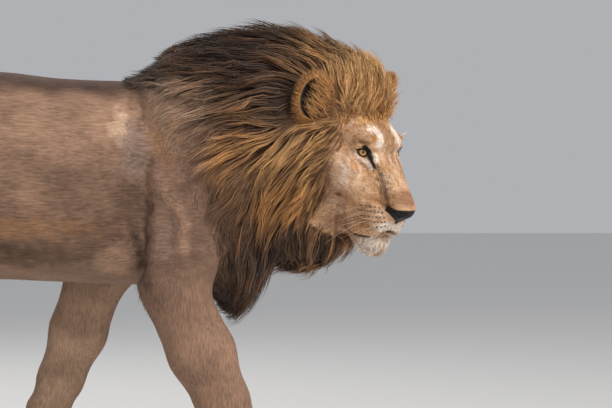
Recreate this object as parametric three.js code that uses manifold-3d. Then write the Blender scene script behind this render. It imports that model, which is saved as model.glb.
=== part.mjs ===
// A full-grown male lion at a walk, life size, as a still model. Millimetres, +X towards the nose, +Y to
// the lion's left, +Z up. The whole animal, mane and coat included, is one implicit surface, a smooth blend
// of bones of flesh and ellipsoids. It is turned into a faceted skin piece by piece, and thin cuts part it
// into named solids.
import * as THREE from "three";
import { mergeVertices } from "three/addons/utils/BufferGeometryUtils.js";
import Module from "manifold-3d";

const wasm = await Module();
wasm.setup();

// Driving dimensions.
const WITHERS = 1104; // height of the back over the shoulders
const BELLY = 590; // height of the belly behind the forelegs
const RUMP_X = -1165; // hindmost point of the buttocks
const SHOULDER_Y = 182; // how far a foreleg stands to the side
const HIP_Y = 138; // how far a hind leg stands to the side
const HUMERUS = 290;
const FOREARM = 372;
const FORE_METAPODIUM = 150;
const FEMUR = 300;
const SHANK = 375;
const HIND_METAPODIUM = 232;
const PAW_LENGTH = 178;
const PAW_WIDTH = 134;
const EYE_SPACING = 106; // between the centres of the eyeballs
const EYE_RADIUS = 20;
const HEAD_TURN = 45; // degrees to the lion's right
const HEAD_DIP = 18; // degrees, nose down
const BETWEEN_EYES = [503, -168, 922];
const TAIL_TUFT_RADIUS = 46;
const CUT = 0.6; // width of the thin cuts between the solids
const SHORTEST_EDGE = 0.05;

const radians = THREE.MathUtils.degToRad;
const clamp = THREE.MathUtils.clamp;
const lerp = THREE.MathUtils.lerp;

// ---------------------------------------------------------------- implicit shapes: (x, y, z) => distance

// The nearer of two distances, with the crease between the shapes filled over a width k.
function blend(a, b, k) {
  const h = Math.max(k - Math.abs(a - b), 0) / k;
  return Math.min(a, b) - (h * h * k) / 4;
}

// Several shapes in one, each melting into the rest over a width k.
function flesh(k, shapes) {
  return (x, y, z) => {
    let d = shapes[0](x, y, z);
    for (let i = 1; i < shapes.length; i++) d = blend(d, shapes[i](x, y, z), k);
    return d;
  };
}

// The distance of a point off an oval section, along the line from the section's centre.
function oval(dx, dy, dz, radius, sideways) {
  const length = Math.hypot(dx, dy, dz);
  const share = Math.hypot(Math.hypot(dx, dz) / radius, dy / sideways);
  return share < 1e-9 ? -Math.min(radius, sideways) : length - length / share;
}

// A length of limb from point a to b. Each end has [radius seen from the side, radius seen from the front].
function bone(a, b, start, end) {
  const way = b.map((v, i) => v - a[i]);
  const square = way.reduce((sum, v) => sum + v * v, 0);
  return (x, y, z) => {
    const t = clamp(((x - a[0]) * way[0] + (y - a[1]) * way[1] + (z - a[2]) * way[2]) / square, 0, 1);
    const [dx, dy, dz] = [x - a[0] - t * way[0], y - a[1] - t * way[1], z - a[2] - t * way[2]];
    return oval(dx, dy, dz, lerp(start[0], end[0], t), lerp(start[1], end[1], t));
  };
}

// A run of bones through joints, each joint being [point, [side radius, front radius]].
function limb(k, joints) {
  return flesh(k, joints.slice(1).map(([p, r], i) => bone(joints[i][0], p, joints[i][1], r)));
}

function ellipsoid(c, r) {
  return (x, y, z) => {
    const [dx, dy, dz] = [x - c[0], y - c[1], z - c[2]];
    const share = Math.hypot(dx / r[0], dy / r[1], dz / r[2]);
    const length = Math.hypot(dx, dy, dz);
    return share < 1e-9 ? -Math.min(...r) : length - length / share;
  };
}

// A shape given for the left side, on both sides of the middle plane.
const bothSides = (shape) => (x, y, z) => shape(x, Math.abs(y), z);

// A smooth curve through points [x, value].
function through(points) {
  const slope = points.map((_, i) => {
    const [a, b] = [points[Math.max(i - 1, 0)], points[Math.min(i + 1, points.length - 1)]];
    return (b[1] - a[1]) / (b[0] - a[0]);
  });
  return (x) => {
    const last = points.length - 2;
    let i = 0;
    while (i < last && x > points[i + 1][0]) i++;
    const [x0, v0] = points[i];
    const [x1, v1] = points[i + 1];
    const [w, t] = [x1 - x0, clamp((x - x0) / (x1 - x0), 0, 1)];
    const rise = t * t * (3 - 2 * t);
    return lerp(v0, v1, rise) + w * t * (1 - t) * ((1 - t) * slope[i] - t * slope[i + 1]);
  };
}

// A body along X whose upper and lower outline and half width are curves, and whose section is a full oval.
function barrel(top, bottom, halfWidth, fullness) {
  return (x, y, z) => {
    const [up, low, side] = [top(x), bottom(x), halfWidth(x)];
    const [dy, dz] = [Math.abs(y), Math.abs(z - (up + low) / 2)];
    const share = ((dy / side) ** fullness + ((2 * dz) / (up - low)) ** fullness) ** (1 / fullness);
    const length = Math.hypot(dy, dz);
    return share < 1e-6 ? -side : length - length / share;
  };
}

// A shape kept between two values of x.
const between = (x0, x1, shape) => (x, y, z) => Math.max(shape(x, y, z), x - x1, x0 - x);

// The end of a bone of a given length that swings forward from straight down, in a plane along the body.
function swing(from, length, degrees, aside = 0) {
  const angle = radians(degrees);
  return [from[0] + length * Math.sin(angle), from[1] + aside, from[2] - length * Math.cos(angle)];
}

// ---------------------------------------------------------------- trunk

const backLine = through([
  [-1240, 900], [-1165, 1004], [-1050, 1074], [-900, 1112], [-700, 1130], [-457, WITHERS + 24],
  [-300, WITHERS + 7], [-130, WITHERS], [0, WITHERS - 2], [160, 1075], [330, 1060],
]);
const bellyLine = through([
  [-1240, 800], [-1100, 770], [-950, 715], [-800, 662], [-600, 606], [-400, BELLY + 3],
  [-150, BELLY - 7], [0, BELLY - 10], [120, 615], [330, 760],
]);
const ribLine = through([
  [-1240, 70], [-1100, 128], [-950, 158], [-800, 176], [-600, 204], [-400, 216], [-200, 206],
  [0, 176], [160, 150], [330, 120],
]);

const trunk = flesh(60, [
  between(-1120, 180, barrel(backLine, bellyLine, ribLine, 2.25)),
  ellipsoid([-1040, 0, 920], [140, 128, 150]), // rump
  bothSides(bone([-880, 62, 1062], [-1080, 66, 1000], [48, 40], [44, 40])), // hip bones
  ellipsoid([130, 0, 800], [120, 140, 190]), // breast under the mane
]);

// ---------------------------------------------------------------- legs

// A paw, seen from the ankle: pad, four toes and their knuckles, on a sole a little below the floor.
function paw(centre, side) {
  const toes = [-1.5, -0.5, 0.5, 1.5].map((n) => {
    const forward = PAW_LENGTH * (0.27 - 0.035 * n * n);
    const aside = (n * PAW_WIDTH) / 4.5;
    const knuckle = [centre[0] + forward - 34, centre[1] + 0.82 * aside, 46];
    const tip = [centre[0] + forward + 16, centre[1] + aside, 24];
    return bone(knuckle, tip, [27, 18], [22, 19]);
  });
  const pad = ellipsoid([centre[0] - 22, centre[1], 26], [66, PAW_WIDTH * 0.41, 34]);
  const instep = ellipsoid([centre[0] - 16, centre[1] - 2 * side, 48], [64, PAW_WIDTH * 0.41, 40]);
  return flesh(14, [flesh(24, [pad, instep]), ...toes]);
}

// A foreleg from the shoulder blade to the paw. swings are degrees forward: upper arm, forearm, metacarpus.
function foreleg(shoulder, swings, side, girth) {
  const blade = [shoulder[0] - 120, side * 118, shoulder[2] + 185];
  const elbow = swing(shoulder, HUMERUS, swings[0], side * 14);
  const middle = swing(elbow, FOREARM * 0.45, swings[1]);
  const wrist = swing(elbow, FOREARM, swings[1], -side * 4);
  const ankle = swing(wrist, FORE_METAPODIUM, swings[2]);
  const pawCentre = [ankle[0] + 34, ankle[1], 0];
  const olecranon = [elbow[0] - 52, elbow[1], elbow[2] + 22];
  const shape = flesh(34, [
    limb(30, [[blade, [78, 46]], [shoulder, [84, 58]], [elbow, [72, 56]]]),
    bone([blade[0] + 20, side * 150, shoulder[2] + 60], olecranon, [92, 50], [40, 38]), // triceps
    limb(24, [
      [elbow, [80 * girth, 58]], [middle, [84 * girth, 58]],
      [swing(elbow, FOREARM * 0.8, swings[1]), [68 * girth, 49]],
      [wrist, [58 * girth, 50]], [ankle, [48, 52]],
    ]),
    bone(olecranon, swing(elbow, FOREARM * 0.4, swings[1] - 8), [34, 34], [48, 40]),
    ellipsoid([wrist[0] - 46, wrist[1], wrist[2] - 12], [16, 16, 22]), // carpal pad
    paw(pawCentre, side),
  ]);
  return { shape, shoulder, elbow, wrist, pawCentre };
}

// A hind leg from the hip to the paw. swings are degrees forward: thigh, shank, metatarsus.
function hindleg(hip, swings, side) {
  const stifle = swing(hip, FEMUR, swings[0], side * 30);
  const hock = swing(stifle, SHANK, swings[1], side * 2);
  const ankle = swing(hock, HIND_METAPODIUM, swings[2]);
  const pawCentre = [ankle[0] + 34, ankle[1], 0];
  const calf = swing(stifle, SHANK * 0.42, swings[1] - 8);
  const heel = [hock[0] - 26, hock[1], hock[2] + 26];
  const flank = [stifle[0] + 40, side * 96, 740];
  const shape = flesh(36, [
    bone(hip, stifle, [150, 84], [88, 66]),
    bone([hip[0] - 62, hip[1] + side * 8, hip[2] - 10], calf, [112, 70], [58, 48]), // back of the thigh
    bone([stifle[0] + 6, stifle[1] - side * 44, stifle[2] + 90], flank, [54, 34], [40, 40]), // flank's fold
    limb(22, [[stifle, [80, 62]], [calf, [70, 55]], [hock, [44, 37]]]),
    bone(calf, heel, [38, 32], [27, 25]), // tendon to the heel
    limb(18, [[heel, [28, 28]], [hock, [46, 37]], [ankle, [43, 50]]]),
    paw(pawCentre, side),
  ]);
  return { shape, hip, stifle, hock, pawCentre };
}

const foreRight = foreleg([130, -SHOULDER_Y + 18, 838], [-27, 23, 17], -1, 1);
const foreLeft = foreleg([14, SHOULDER_Y - 18, 776], [-53, -21, -5], 1, 0.9);
const hindRight = hindleg([-985, -HIP_Y + 34, 880], [12, -43, 9], -1);
const hindLeft = hindleg([-965, HIP_Y - 34, 878], [30, -21, 22], 1);

// ---------------------------------------------------------------- head

// The head is shaped in a frame of its own, with its origin behind the bridge of the nose and its X running
// forward.
const headFrame = new THREE.Object3D();
headFrame.rotation.order = "ZYX";
headFrame.rotation.set(0, radians(HEAD_DIP), radians(-HEAD_TURN));
headFrame.position.set(...BETWEEN_EYES);
headFrame.updateMatrixWorld();
const toHead = headFrame.matrixWorld.clone().invert();
const probe = new THREE.Vector3();

// A shape given in the head's frame, in the lion's.
function onHead(shape) {
  return (x, y, z) => {
    probe.set(x, y, z).applyMatrix4(toHead);
    return shape(probe.x, probe.y, probe.z);
  };
}

const NOSE = [114, 0, -112];
const EYE = [-13.5, EYE_SPACING / 2, -3];
const face = flesh(22, [
  ellipsoid([-118, 0, 14], [130, 90, 84]), // skull
  ellipsoid([-34, 0, 22], [66, 70, 42]), // forehead
  bothSides(ellipsoid([-9, 37, 25], [28, 31, 20])), // brows
  bothSides(ellipsoid([EYE[0] - 6, EYE[1] - 2, -4], [21, 28, 26])), // eyelids
  bothSides(ellipsoid([-74, 74, -58], [86, 42, 60])), // cheekbones
  bone([6, 0, -30], [104, 0, -106], [37, 46], [32, 34]), // bridge of the nose
  bothSides(bone([14, 25, -28], [99, 14, -100], [30, 28], [27, 20])), // and its two edges
  bothSides(ellipsoid([4, 50, -108], [60, 30, 60])), // upper cheeks
  bone([0, 0, -92], [70, 0, -134], [58, 60], [40, 42]), // upper jaw
  bothSides(ellipsoid([57, 27, -151], [43, 31, 38])), // whisker pads
  bothSides(ellipsoid([30, 36, -178], [50, 24, 32])), // corners of the lips
  ellipsoid(NOSE, [26, 32, 22]),
  bone([-96, 0, -150], [34, 0, -202], [54, 68], [34, 40]), // lower jaw
  ellipsoid([49, 0, -211], [38, 36, 33]), // chin
  bothSides(ellipsoid([-94, 70, -128], [70, 42, 72])), // jaw muscles
]);

const EAR = [-140, 130, 94];
const EAR_FACING = 35; // degrees outward from straight ahead

// ---------------------------------------------------------------- neck and mane, out to the tips of the hair

const maneTop = through([
  [-190, 1085], [-130, 1114], [-60, 1164], [0, 1206], [100, 1238], [200, 1250], [300, 1243], [400, 1206],
  [470, 1150],
]);
const maneBottom = through([
  [-190, 1040], [-130, 985], [-60, 850], [0, 690], [80, 530], [140, 500], [190, 556], [235, 612], [330, 612],
  [400, 640], [470, 720],
]);
const maneSide = through([
  [-190, 60], [-130, 128], [-60, 205], [0, 236], [100, 248], [200, 226], [300, 172], [400, 130], [470, 100],
]);
const neckCentre = through([[-190, 0], [100, 0], [200, -16], [300, -46], [400, -90], [470, -120]]);
const neckBarrel = barrel(maneTop, maneBottom, maneSide, 2.0);

const mane = flesh(50, [
  between(-185, 430, (x, y, z) => neckBarrel(x, y - neckCentre(x), z)),
  onHead(ellipsoid([-142, 0, 62], [144, 130, 160])), // crown
  onHead(bothSides(ellipsoid([-170, 88, -60], [104, 116, 140]))), // ruff beside the cheeks
  onHead(ellipsoid([-90, 0, -198], [108, 92, 96])), // beard
  ellipsoid([130, 0, 660], [90, 160, 150]), // breast
]);

// ---------------------------------------------------------------- tail

const tailCurve = new THREE.CatmullRomCurve3(
  [
    [RUMP_X + 60, 0, 1000], [RUMP_X, 0, 962], [-1232, 6, 850], [-1276, 16, 700], [-1296, 30, 540],
    [-1336, 40, 400], [-1424, 46, 318], [-1520, 48, 298], [-1612, 48, 316],
  ].map((p) => new THREE.Vector3(...p)),
);
const TUFT_START = 0.84; // as a share of the tail's length
const TAIL_TIP_RADIUS = 17;
const tailRoot = bone([RUMP_X + 70, 0, 990], [RUMP_X - 40, 0, 925], [52, 44], [40, 38]);
const tailRadius = (t) => lerp(40, TAIL_TIP_RADIUS, Math.sqrt(t));
function tuftRadius(t) {
  const along = clamp((t - TUFT_START) / (1 - TUFT_START), 0, 1);
  return lerp(TAIL_TIP_RADIUS, TAIL_TUFT_RADIUS, Math.sin(Math.PI * along ** 0.8));
}

// A tapering tube along a stretch of the tail, closed by flat ends.
function tube(t0, t1, rings, radius) {
  const SIDES = 8;
  const points = [];
  for (let i = 0; i <= rings; i++) {
    const t = lerp(t0, t1, i / rings);
    const along = tailCurve.getTangentAt(t);
    const up = new THREE.Vector3(0, 1, 0).cross(along).normalize();
    const aside = along.clone().cross(up);
    for (let k = 0; k < SIDES; k++) {
      const turn = (2 * Math.PI * k) / SIDES;
      const point = tailCurve.getPointAt(t).addScaledVector(up, radius(t) * Math.cos(turn));
      points.push(point.addScaledVector(aside, radius(t) * Math.sin(turn)));
    }
  }
  const index = [];
  for (let i = 0; i < rings; i++)
    for (let k = 0; k < SIDES; k++) {
      const [a, b] = [i * SIDES + k, i * SIDES + ((k + 1) % SIDES)];
      index.push(a, b, a + SIDES, b, b + SIDES, a + SIDES);
    }
  const last = rings * SIDES;
  for (let k = 1; k < SIDES - 1; k++) index.push(0, k + 1, k, last, last + k, last + k + 1);
  return new THREE.BufferGeometry().setFromPoints(points).setIndex(index);
}

// ---------------------------------------------------------------- the whole lion

const body = flesh(46, [trunk, foreRight.shape, foreLeft.shape, hindRight.shape, hindLeft.shape, tailRoot]);
const headWithFace = onHead(face);
const lion = (x, y, z) => blend(blend(body(x, y, z), mane(x, y, z), 30), headWithFace(x, y, z), 16);

// ---------------------------------------------------------------- from the implicit surface to solids

// The surface of a field between two corners, as a closed geometry of quads on a grid of the given cell,
// each vertex brought onto the surface.
function skin(field, low, high, cell) {
  const [nx, ny, nz] = [0, 1, 2].map((i) => Math.ceil((high[i] - low[i]) / cell) + 2);
  const at = (i, j, k) => (i * ny + j) * nz + k;
  const place = (...steps) => steps.map((n, axis) => low[axis] + (n - 0.5) * cell);
  const value = new Float32Array(nx * ny * nz);
  for (let i = 0; i < nx; i++)
    for (let j = 0; j < ny; j++)
      for (let k = 0; k < nz; k++) {
        const rim = !i || !j || !k || i === nx - 1 || j === ny - 1 || k === nz - 1;
        value[at(i, j, k)] = rim ? cell : field(...place(i, j, k)) || 1e-6;
      }
  const steps = [at(1, 0, 0), at(0, 1, 0), at(0, 0, 1)];
  fillCreases(value, steps);
  const corners = [0, 1, 2, 3, 4, 5, 6, 7].map((c) => [c & 1, (c >> 1) & 1, c >> 2]);
  const edges = corners.flatMap((a, i) =>
    corners.slice(i + 1).filter((b) => a.filter((v, n) => v !== b[n]).length === 1).map((b) => [a, b]),
  );
  const vertexOf = new Map();
  const positions = [];
  for (let i = 0; i < nx - 1; i++)
    for (let j = 0; j < ny - 1; j++)
      for (let k = 0; k < nz - 1; k++) {
        const sum = [0, 0, 0];
        let crossings = 0;
        for (const [a, b] of edges) {
          const va = value[at(i + a[0], j + a[1], k + a[2])];
          const vb = value[at(i + b[0], j + b[1], k + b[2])];
          if (va < 0 === vb < 0) continue;
          const t = va / (va - vb);
          for (let n = 0; n < 3; n++) sum[n] += a[n] + t * (b[n] - a[n]);
          crossings++;
        }
        if (!crossings) continue;
        vertexOf.set(at(i, j, k), positions.length / 3);
        positions.push(...settle(field, place(...[i, j, k].map((v, n) => v + sum[n] / crossings)), cell));
      }
  const index = [];
  for (let i = 0; i < nx - 1; i++)
    for (let j = 0; j < ny - 1; j++)
      for (let k = 0; k < nz - 1; k++)
        for (let axis = 0; axis < 3; axis++) {
          const here = at(i, j, k);
          const inside = value[here] < 0;
          if (inside === value[here + steps[axis]] < 0) continue;
          const [u, v] = [steps[(axis + 1) % 3], steps[(axis + 2) % 3]];
          const quad = [here - u - v, here - v, here, here - u].map((cellIndex) => vertexOf.get(cellIndex));
          if (!inside) quad.reverse();
          index.push(...halves(quad, positions));
        }
  return new THREE.BufferGeometry()
    .setAttribute("position", new THREE.Float32BufferAttribute(positions, 3))
    .setIndex(index);
}

// Where two inside corners of a grid square touch only across its diagonal, one of the other two is filled
// too, so that the surface never meets itself along an edge.
function fillCreases(value, steps) {
  let filled = true;
  while (filled) {
    filled = false;
    for (const [u, v] of [[0, 1], [1, 2], [2, 0]].map((pair) => pair.map((axis) => steps[axis])))
      for (let a = 0; a + u + v < value.length; a++) {
        const [inside, across] = [value[a] < 0, value[a + u] < 0];
        if (inside === across || inside !== value[a + u + v] < 0 || across !== value[a + v] < 0) continue;
        const outside = inside ? [a + u, a + v] : [a, a + u + v];
        value[value[outside[0]] < value[outside[1]] ? outside[0] : outside[1]] = -1e-3;
        filled = true;
      }
  }
}

// A point near the surface, moved onto it along the field's slope.
function settle(field, point, cell) {
  const step = cell * 0.02;
  let [x, y, z] = point;
  for (let round = 0; round < 3; round++) {
    const d = field(x, y, z);
    if (Math.abs(d) > cell * 0.9) return point;
    const slope = [
      (field(x + step, y, z) - field(x - step, y, z)) / (2 * step),
      (field(x, y + step, z) - field(x, y - step, z)) / (2 * step),
      (field(x, y, z + step) - field(x, y, z - step)) / (2 * step),
    ];
    const square = Math.max(slope[0] ** 2 + slope[1] ** 2 + slope[2] ** 2, 0.25);
    [x, y, z] = [x - (slope[0] * d) / square, y - (slope[1] * d) / square, z - (slope[2] * d) / square];
  }
  const moved = Math.hypot(x - point[0], y - point[1], z - point[2]);
  return moved < cell * 0.7 ? [x, y, z] : point;
}

// A quad as two triangles, split along its shorter diagonal.
function halves([a, b, c, d], positions) {
  const apart = (m, n) => Math.hypot(...[0, 1, 2].map((i) => positions[3 * m + i] - positions[3 * n + i]));
  return apart(a, c) <= apart(b, d) ? [a, b, c, a, c, d] : [b, c, d, b, d, a];
}

// A closed geometry as a manifold solid.
function solid(geometry) {
  const bare = new THREE.BufferGeometry().setAttribute("position", geometry.attributes.position);
  if (geometry.index) bare.setIndex(geometry.index);
  const merged = mergeVertices(bare, 1e-3);
  return new wasm.Manifold(
    new wasm.Mesh({
      numProp: 3,
      vertProperties: new Float32Array(merged.attributes.position.array),
      triVerts: new Uint32Array(merged.index.array),
    }),
  );
}

// A cutter whose outline of [x, z] points is seen from the side, reaching from y0 to y1, grown by a margin
// all round.
function slice(outline, y0, y1, grown = 0) {
  const middle = [0, 1].map((n) => outline.reduce((sum, p) => sum + p[n] / outline.length, 0));
  const points = outline.map((p) => {
    const wider = 1 + (1.6 * grown) / Math.hypot(p[0] - middle[0], p[1] - middle[1]);
    return new THREE.Vector2(...p.map((v, n) => middle[n] + (v - middle[n]) * wider));
  });
  const depth = y1 - y0 + 2 * grown;
  return new THREE.ExtrudeGeometry(new THREE.Shape(points), { depth, bevelEnabled: false })
    .rotateX(Math.PI / 2)
    .translate(0, y1 + grown, 0);
}

// Everything between two values of x and two of z.
function block(x0, x1, z0, z1) {
  return solid(slice([[x0, z0], [x1, z0], [x1, z1], [x0, z1]], -FAR, FAR));
}

// The part of the lion between two corners, on a grid of the given cell.
const piece = (low, high, cell) => solid(skin(lion, low, high, cell));

// ---------------------------------------------------------------- the cuts

const FAR = 1800; // past the model's ends and sides
const MANE_SLANT = 0.49; // how far the mane's rear edge runs forward for each millimetre down
const maneEdge = (z) => -140 + (1110 - z) * MANE_SLANT;
const BREAST_TOP = 600;
const ANKLE = 118;
const FORE_INNER = 104; // how near the middle plane a foreleg is cut off
const HIND_INNER = 62;

const foreRightOutline = [
  [-150, -20], [330, -20], [330, 220], [225, 300], [172, 400], [140, 484], [118, 530],
  [maneEdge(600) + 3, 600],
  [maneEdge(905) + 3, 905], [-96, 880], [-130, 700], [-150, 560],
];
const foreLeftOutline = [
  [-560, -20], [-240, -20], [-210, 300], [-90, 540], [maneEdge(640) + 3, 640], [maneEdge(880) + 3, 880],
  [-90, 890], [-210, 840], [-340, 640], [-440, 450],
];
function hindOutline({ hip, stifle, hock, pawCentre }, flank) {
  return [
    [pawCentre[0] - 170, -20], [pawCentre[0] + 130, -20], [pawCentre[0] + 130, 150],
    [stifle[0] + 60, stifle[2] - 160], [stifle[0] + 128, stifle[2]], [stifle[0] + flank, 800],
    [hip[0] + 40, 930], [hip[0] - 90, 930], [hip[0] - 185, 820], [hip[0] - 215, 640],
    [hock[0] - 110, hock[2]],
  ];
}

const legs = {
  foreleg_right: { ...foreRight, outline: foreRightOutline, sides: [-FAR, -FORE_INNER] },
  foreleg_left: { ...foreLeft, outline: foreLeftOutline, sides: [FORE_INNER, FAR] },
  hindleg_right: { ...hindRight, outline: hindOutline(hindRight, 120), sides: [-FAR, -HIND_INNER] },
  hindleg_left: { ...hindLeft, outline: hindOutline(hindLeft, 70), sides: [HIND_INNER, FAR] },
};
const legCutter = ({ outline, sides }, grown) => solid(slice(outline, ...sides, grown));
const withoutLegs = (shape) => (
  Object.values(legs).reduce((rest, leg) => rest.subtract(legCutter(leg, CUT)), shape)
);

// Everything in front of the mane's rear edge, or behind it.
const atManeEdge = (x, shift) => [[maneEdge(FAR) + shift, FAR], [maneEdge(0) + shift, 0], [x, 0], [x, FAR]];
const inFrontOfTrunk = () => solid(slice(atManeEdge(FAR, CUT / 2).reverse(), -FAR, FAR));
const behindMane = () => solid(slice(atManeEdge(-FAR, -CUT / 2), -FAR, FAR));

// The face seen from its side in the head's frame, and what lies behind the crown of the head.
const faceOutline = [[-86, -340], [260, -340], [260, 80], [20, 66], [-58, 72], [-86, 20]];
const behindCrown = [[-FAR, -FAR], [-206, -FAR], [-206, FAR], [-FAR, FAR]];
const headCutter = (outline, halfWidth, grown) =>
  solid(slice(outline, -halfWidth, halfWidth, grown).applyMatrix4(headFrame.matrixWorld));

// A ball stretched to three radii, in an ear's own frame, which faces forward and outward.
function earBall(side, centre, radii) {
  const ball = new THREE.SphereGeometry(1, 12, 8).scale(...radii).translate(...centre);
  ball.rotateZ(radians(side * EAR_FACING)).translate(EAR[0], side * EAR[1], EAR[2]);
  return solid(ball.applyMatrix4(headFrame.matrixWorld));
}

function eyeBall(side, radius) {
  const ball = new THREE.SphereGeometry(radius, 12, 7).translate(EYE[0], side * EYE[1], EYE[2]);
  return solid(ball.applyMatrix4(headFrame.matrixWorld));
}

// ---------------------------------------------------------------- materials and nodes

const paint = (color, roughness) => new THREE.MeshStandardMaterial({ color, roughness, metalness: 0 });
const coat = paint(0x8a6f58, 0.85);
const paleCoat = paint(0xa88a70, 0.85);
const faceCoat = paint(0xb89877, 0.85);
const earCoat = paint(0x9c7038, 0.85);
const crownHair = paint(0x9a6a35, 0.7);
const neckHair = paint(0x5f4128, 0.7);
const darkHair = paint(0x33241a, 0.7);
const eyeGlass = paint(0xb07a22, 0.15);

const lionGroup = new THREE.Group();

// Puts the largest body of a finished shape into the group as a named node, its shortest edges closed up.
function add(name, shape, material) {
  const biggest = shape.decompose().sort((a, b) => b.volume() - a.volume())[0];
  const made = biggest.getMesh();
  const geometry = mergeVertices(
    new THREE.BufferGeometry()
      .setAttribute("position", new THREE.BufferAttribute(new Float32Array(made.vertProperties), 3))
      .setIndex(new THREE.BufferAttribute(new Uint32Array(made.triVerts), 1)),
    SHORTEST_EDGE,
  );
  const corners = Array.from(geometry.index.array);
  const kept = corners.filter((_, i) => {
    const [a, b, c] = corners.slice(i - (i % 3), i - (i % 3) + 3);
    return a !== b && b !== c && c !== a;
  });
  const mesh = new THREE.Mesh(geometry.setIndex(kept), material);
  mesh.name = name;
  lionGroup.add(mesh);
}

function addTrunk() {
  const whole = piece([RUMP_X - 90, -290, 520], [300, 290, 1180], 68);
  const body = whole.intersect(behindMane()).intersect(block(RUMP_X, FAR, 0, FAR));
  add("trunk", withoutLegs(body), coat);
}

function addMane() {
  const whole = piece([-260, -330, 420], [640, 330, 1290], 54).intersect(inFrontOfTrunk());
  const hair = withoutLegs(whole).subtract(headCutter(faceOutline, 260, CUT));
  const upper = hair.intersect(block(-FAR, FAR, BREAST_TOP + CUT, FAR));
  add("breast", hair.intersect(block(-FAR, FAR, 0, BREAST_TOP)), darkHair);
  add("neck", upper.intersect(headCutter(behindCrown, FAR, 0)), neckHair);
  const pockets = [-1, 1].map((side) => earBall(side, [0, 0, 0], [32, 48, 68]));
  const crown = upper.subtract(headCutter(behindCrown, FAR, CUT));
  add("mane_crown", crown.subtract(pockets[0]).subtract(pockets[1]), crownHair);
}

function addHead() {
  const whole = piece([300, -480, 560], [720, 120, 1120], 22);
  let head = whole.intersect(headCutter(faceOutline, 260, 0));
  for (const [name, side] of [["right", -1], ["left", 1]]) {
    head = head.subtract(eyeBall(side, EYE_RADIUS + CUT));
    add("eye_" + name, eyeBall(side, EYE_RADIUS), eyeGlass);
    const cup = earBall(side, [0, 0, 0], [30, 46, 66]).subtract(earBall(side, [22, 0, 8], [34, 36, 54]));
    add("ear_" + name, cup, earCoat);
  }
  add("head", head, faceCoat);
}

function addLegs() {
  for (const [name, leg] of Object.entries(legs)) {
    const across = leg.outline.map((p) => p[0]);
    const [x0, x1] = [Math.min(...across) - 50, Math.max(...across) + 50];
    const [y0, y1] = name.endsWith("right") ? [-320, -40] : [40, 320];
    const whole = piece([x0, y0, 60], [x1, y1, 950], 45).intersect(legCutter(leg, 0));
    add(name, whole.intersect(block(x0, x1, ANKLE + CUT, 950)), coat);
    const [x, y] = leg.pawCentre;
    const foot = piece([x - 130, y - 100, -30], [x + 120, y + 100, 150], 25);
    add(name.replace("leg", "paw"), foot.intersect(block(x0, x1, 0, ANKLE)), paleCoat);
  }
}

function addTail() {
  const behind = block(-FAR, RUMP_X - CUT, 0, FAR);
  const free = solid(tube(0, TUFT_START - 0.0005, 18, tailRadius)).intersect(behind);
  add("tail", free, coat);
  add("tail_tuft", solid(tube(TUFT_START, 1, 8, tuftRadius)), darkHair);
}

addTrunk();
addMane();
addHead();
addLegs();
addTail();

// The whole stands on the floor with the middle of its bounding box over the origin.
const box = new THREE.Box3().setFromObject(lionGroup);
const middle = box.getCenter(new THREE.Vector3());
for (const mesh of lionGroup.children) mesh.geometry.translate(-middle.x, -middle.y, -box.min.z);

export default lionGroup;
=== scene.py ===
"""A full-grown male lion at a walk, as a still, life-size model: one skin over the flesh, eyes, mane, coat
and whiskers. Shapes are worked out in the lion's own frame, in millimetres, then put in the row frame."""
import functools
import math

import bmesh
import bpy
import numpy as np
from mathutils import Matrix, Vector


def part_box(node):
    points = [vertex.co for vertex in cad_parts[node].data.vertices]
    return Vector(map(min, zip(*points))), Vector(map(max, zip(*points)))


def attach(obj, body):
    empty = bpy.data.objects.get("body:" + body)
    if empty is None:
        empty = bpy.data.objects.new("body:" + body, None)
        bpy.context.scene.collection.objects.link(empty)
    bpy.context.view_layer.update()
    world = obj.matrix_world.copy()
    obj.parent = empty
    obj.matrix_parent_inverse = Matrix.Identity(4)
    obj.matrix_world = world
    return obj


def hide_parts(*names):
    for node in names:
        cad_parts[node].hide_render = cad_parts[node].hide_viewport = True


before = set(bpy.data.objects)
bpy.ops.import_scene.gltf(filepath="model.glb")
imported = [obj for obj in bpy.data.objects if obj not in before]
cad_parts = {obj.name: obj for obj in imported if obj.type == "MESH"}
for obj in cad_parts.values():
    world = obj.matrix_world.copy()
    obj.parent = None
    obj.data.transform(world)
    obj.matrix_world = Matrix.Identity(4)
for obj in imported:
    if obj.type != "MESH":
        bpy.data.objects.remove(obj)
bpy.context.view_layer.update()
rng = np.random.default_rng(11)

MM = 0.001
TINY = 1e-9  # keeps divisions by a length safe
FAR = 1e9  # farther than anything

# Driving dimensions, as in the solids.
WITHERS = 1104
BELLY = 590
RUMP_X = -1165
SHOULDER_Y = 182
HIP_Y = 138
HUMERUS = 290
FOREARM = 372
FORE_METAPODIUM = 150
FEMUR = 300
SHANK = 375
HIND_METAPODIUM = 232
PAW_LENGTH = 178
PAW_WIDTH = 134
EYE_RADIUS = 20
HEAD_TURN = 45
HEAD_DIP = 18
BETWEEN_EYES = np.array([503.0, -168.0, 922.0])
EYE = np.array([-13.5, 53.0, -3.0])
EAR = np.array([-140.0, 130.0, 94.0])
EAR_FACING = 35
TAIL_ROOT_RADIUS = 40
TAIL_TIP_RADIUS = 17
TUFT_START = 0.84  # as a share of the tail's length
TAIL_X = RUMP_X - 30  # behind it there is nothing but the tail

# How deep the skin lies under the tips of the hair.
BODY_COAT = 4.0
FACE_COAT = 2.5
MANE_DEPTH = 42.0

# ---------------------------------------------------------------- frames


def column(*values):
    """A point or a direction as a column, to go with points (3, N)."""
    return np.array(values, float)[:, None]


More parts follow.
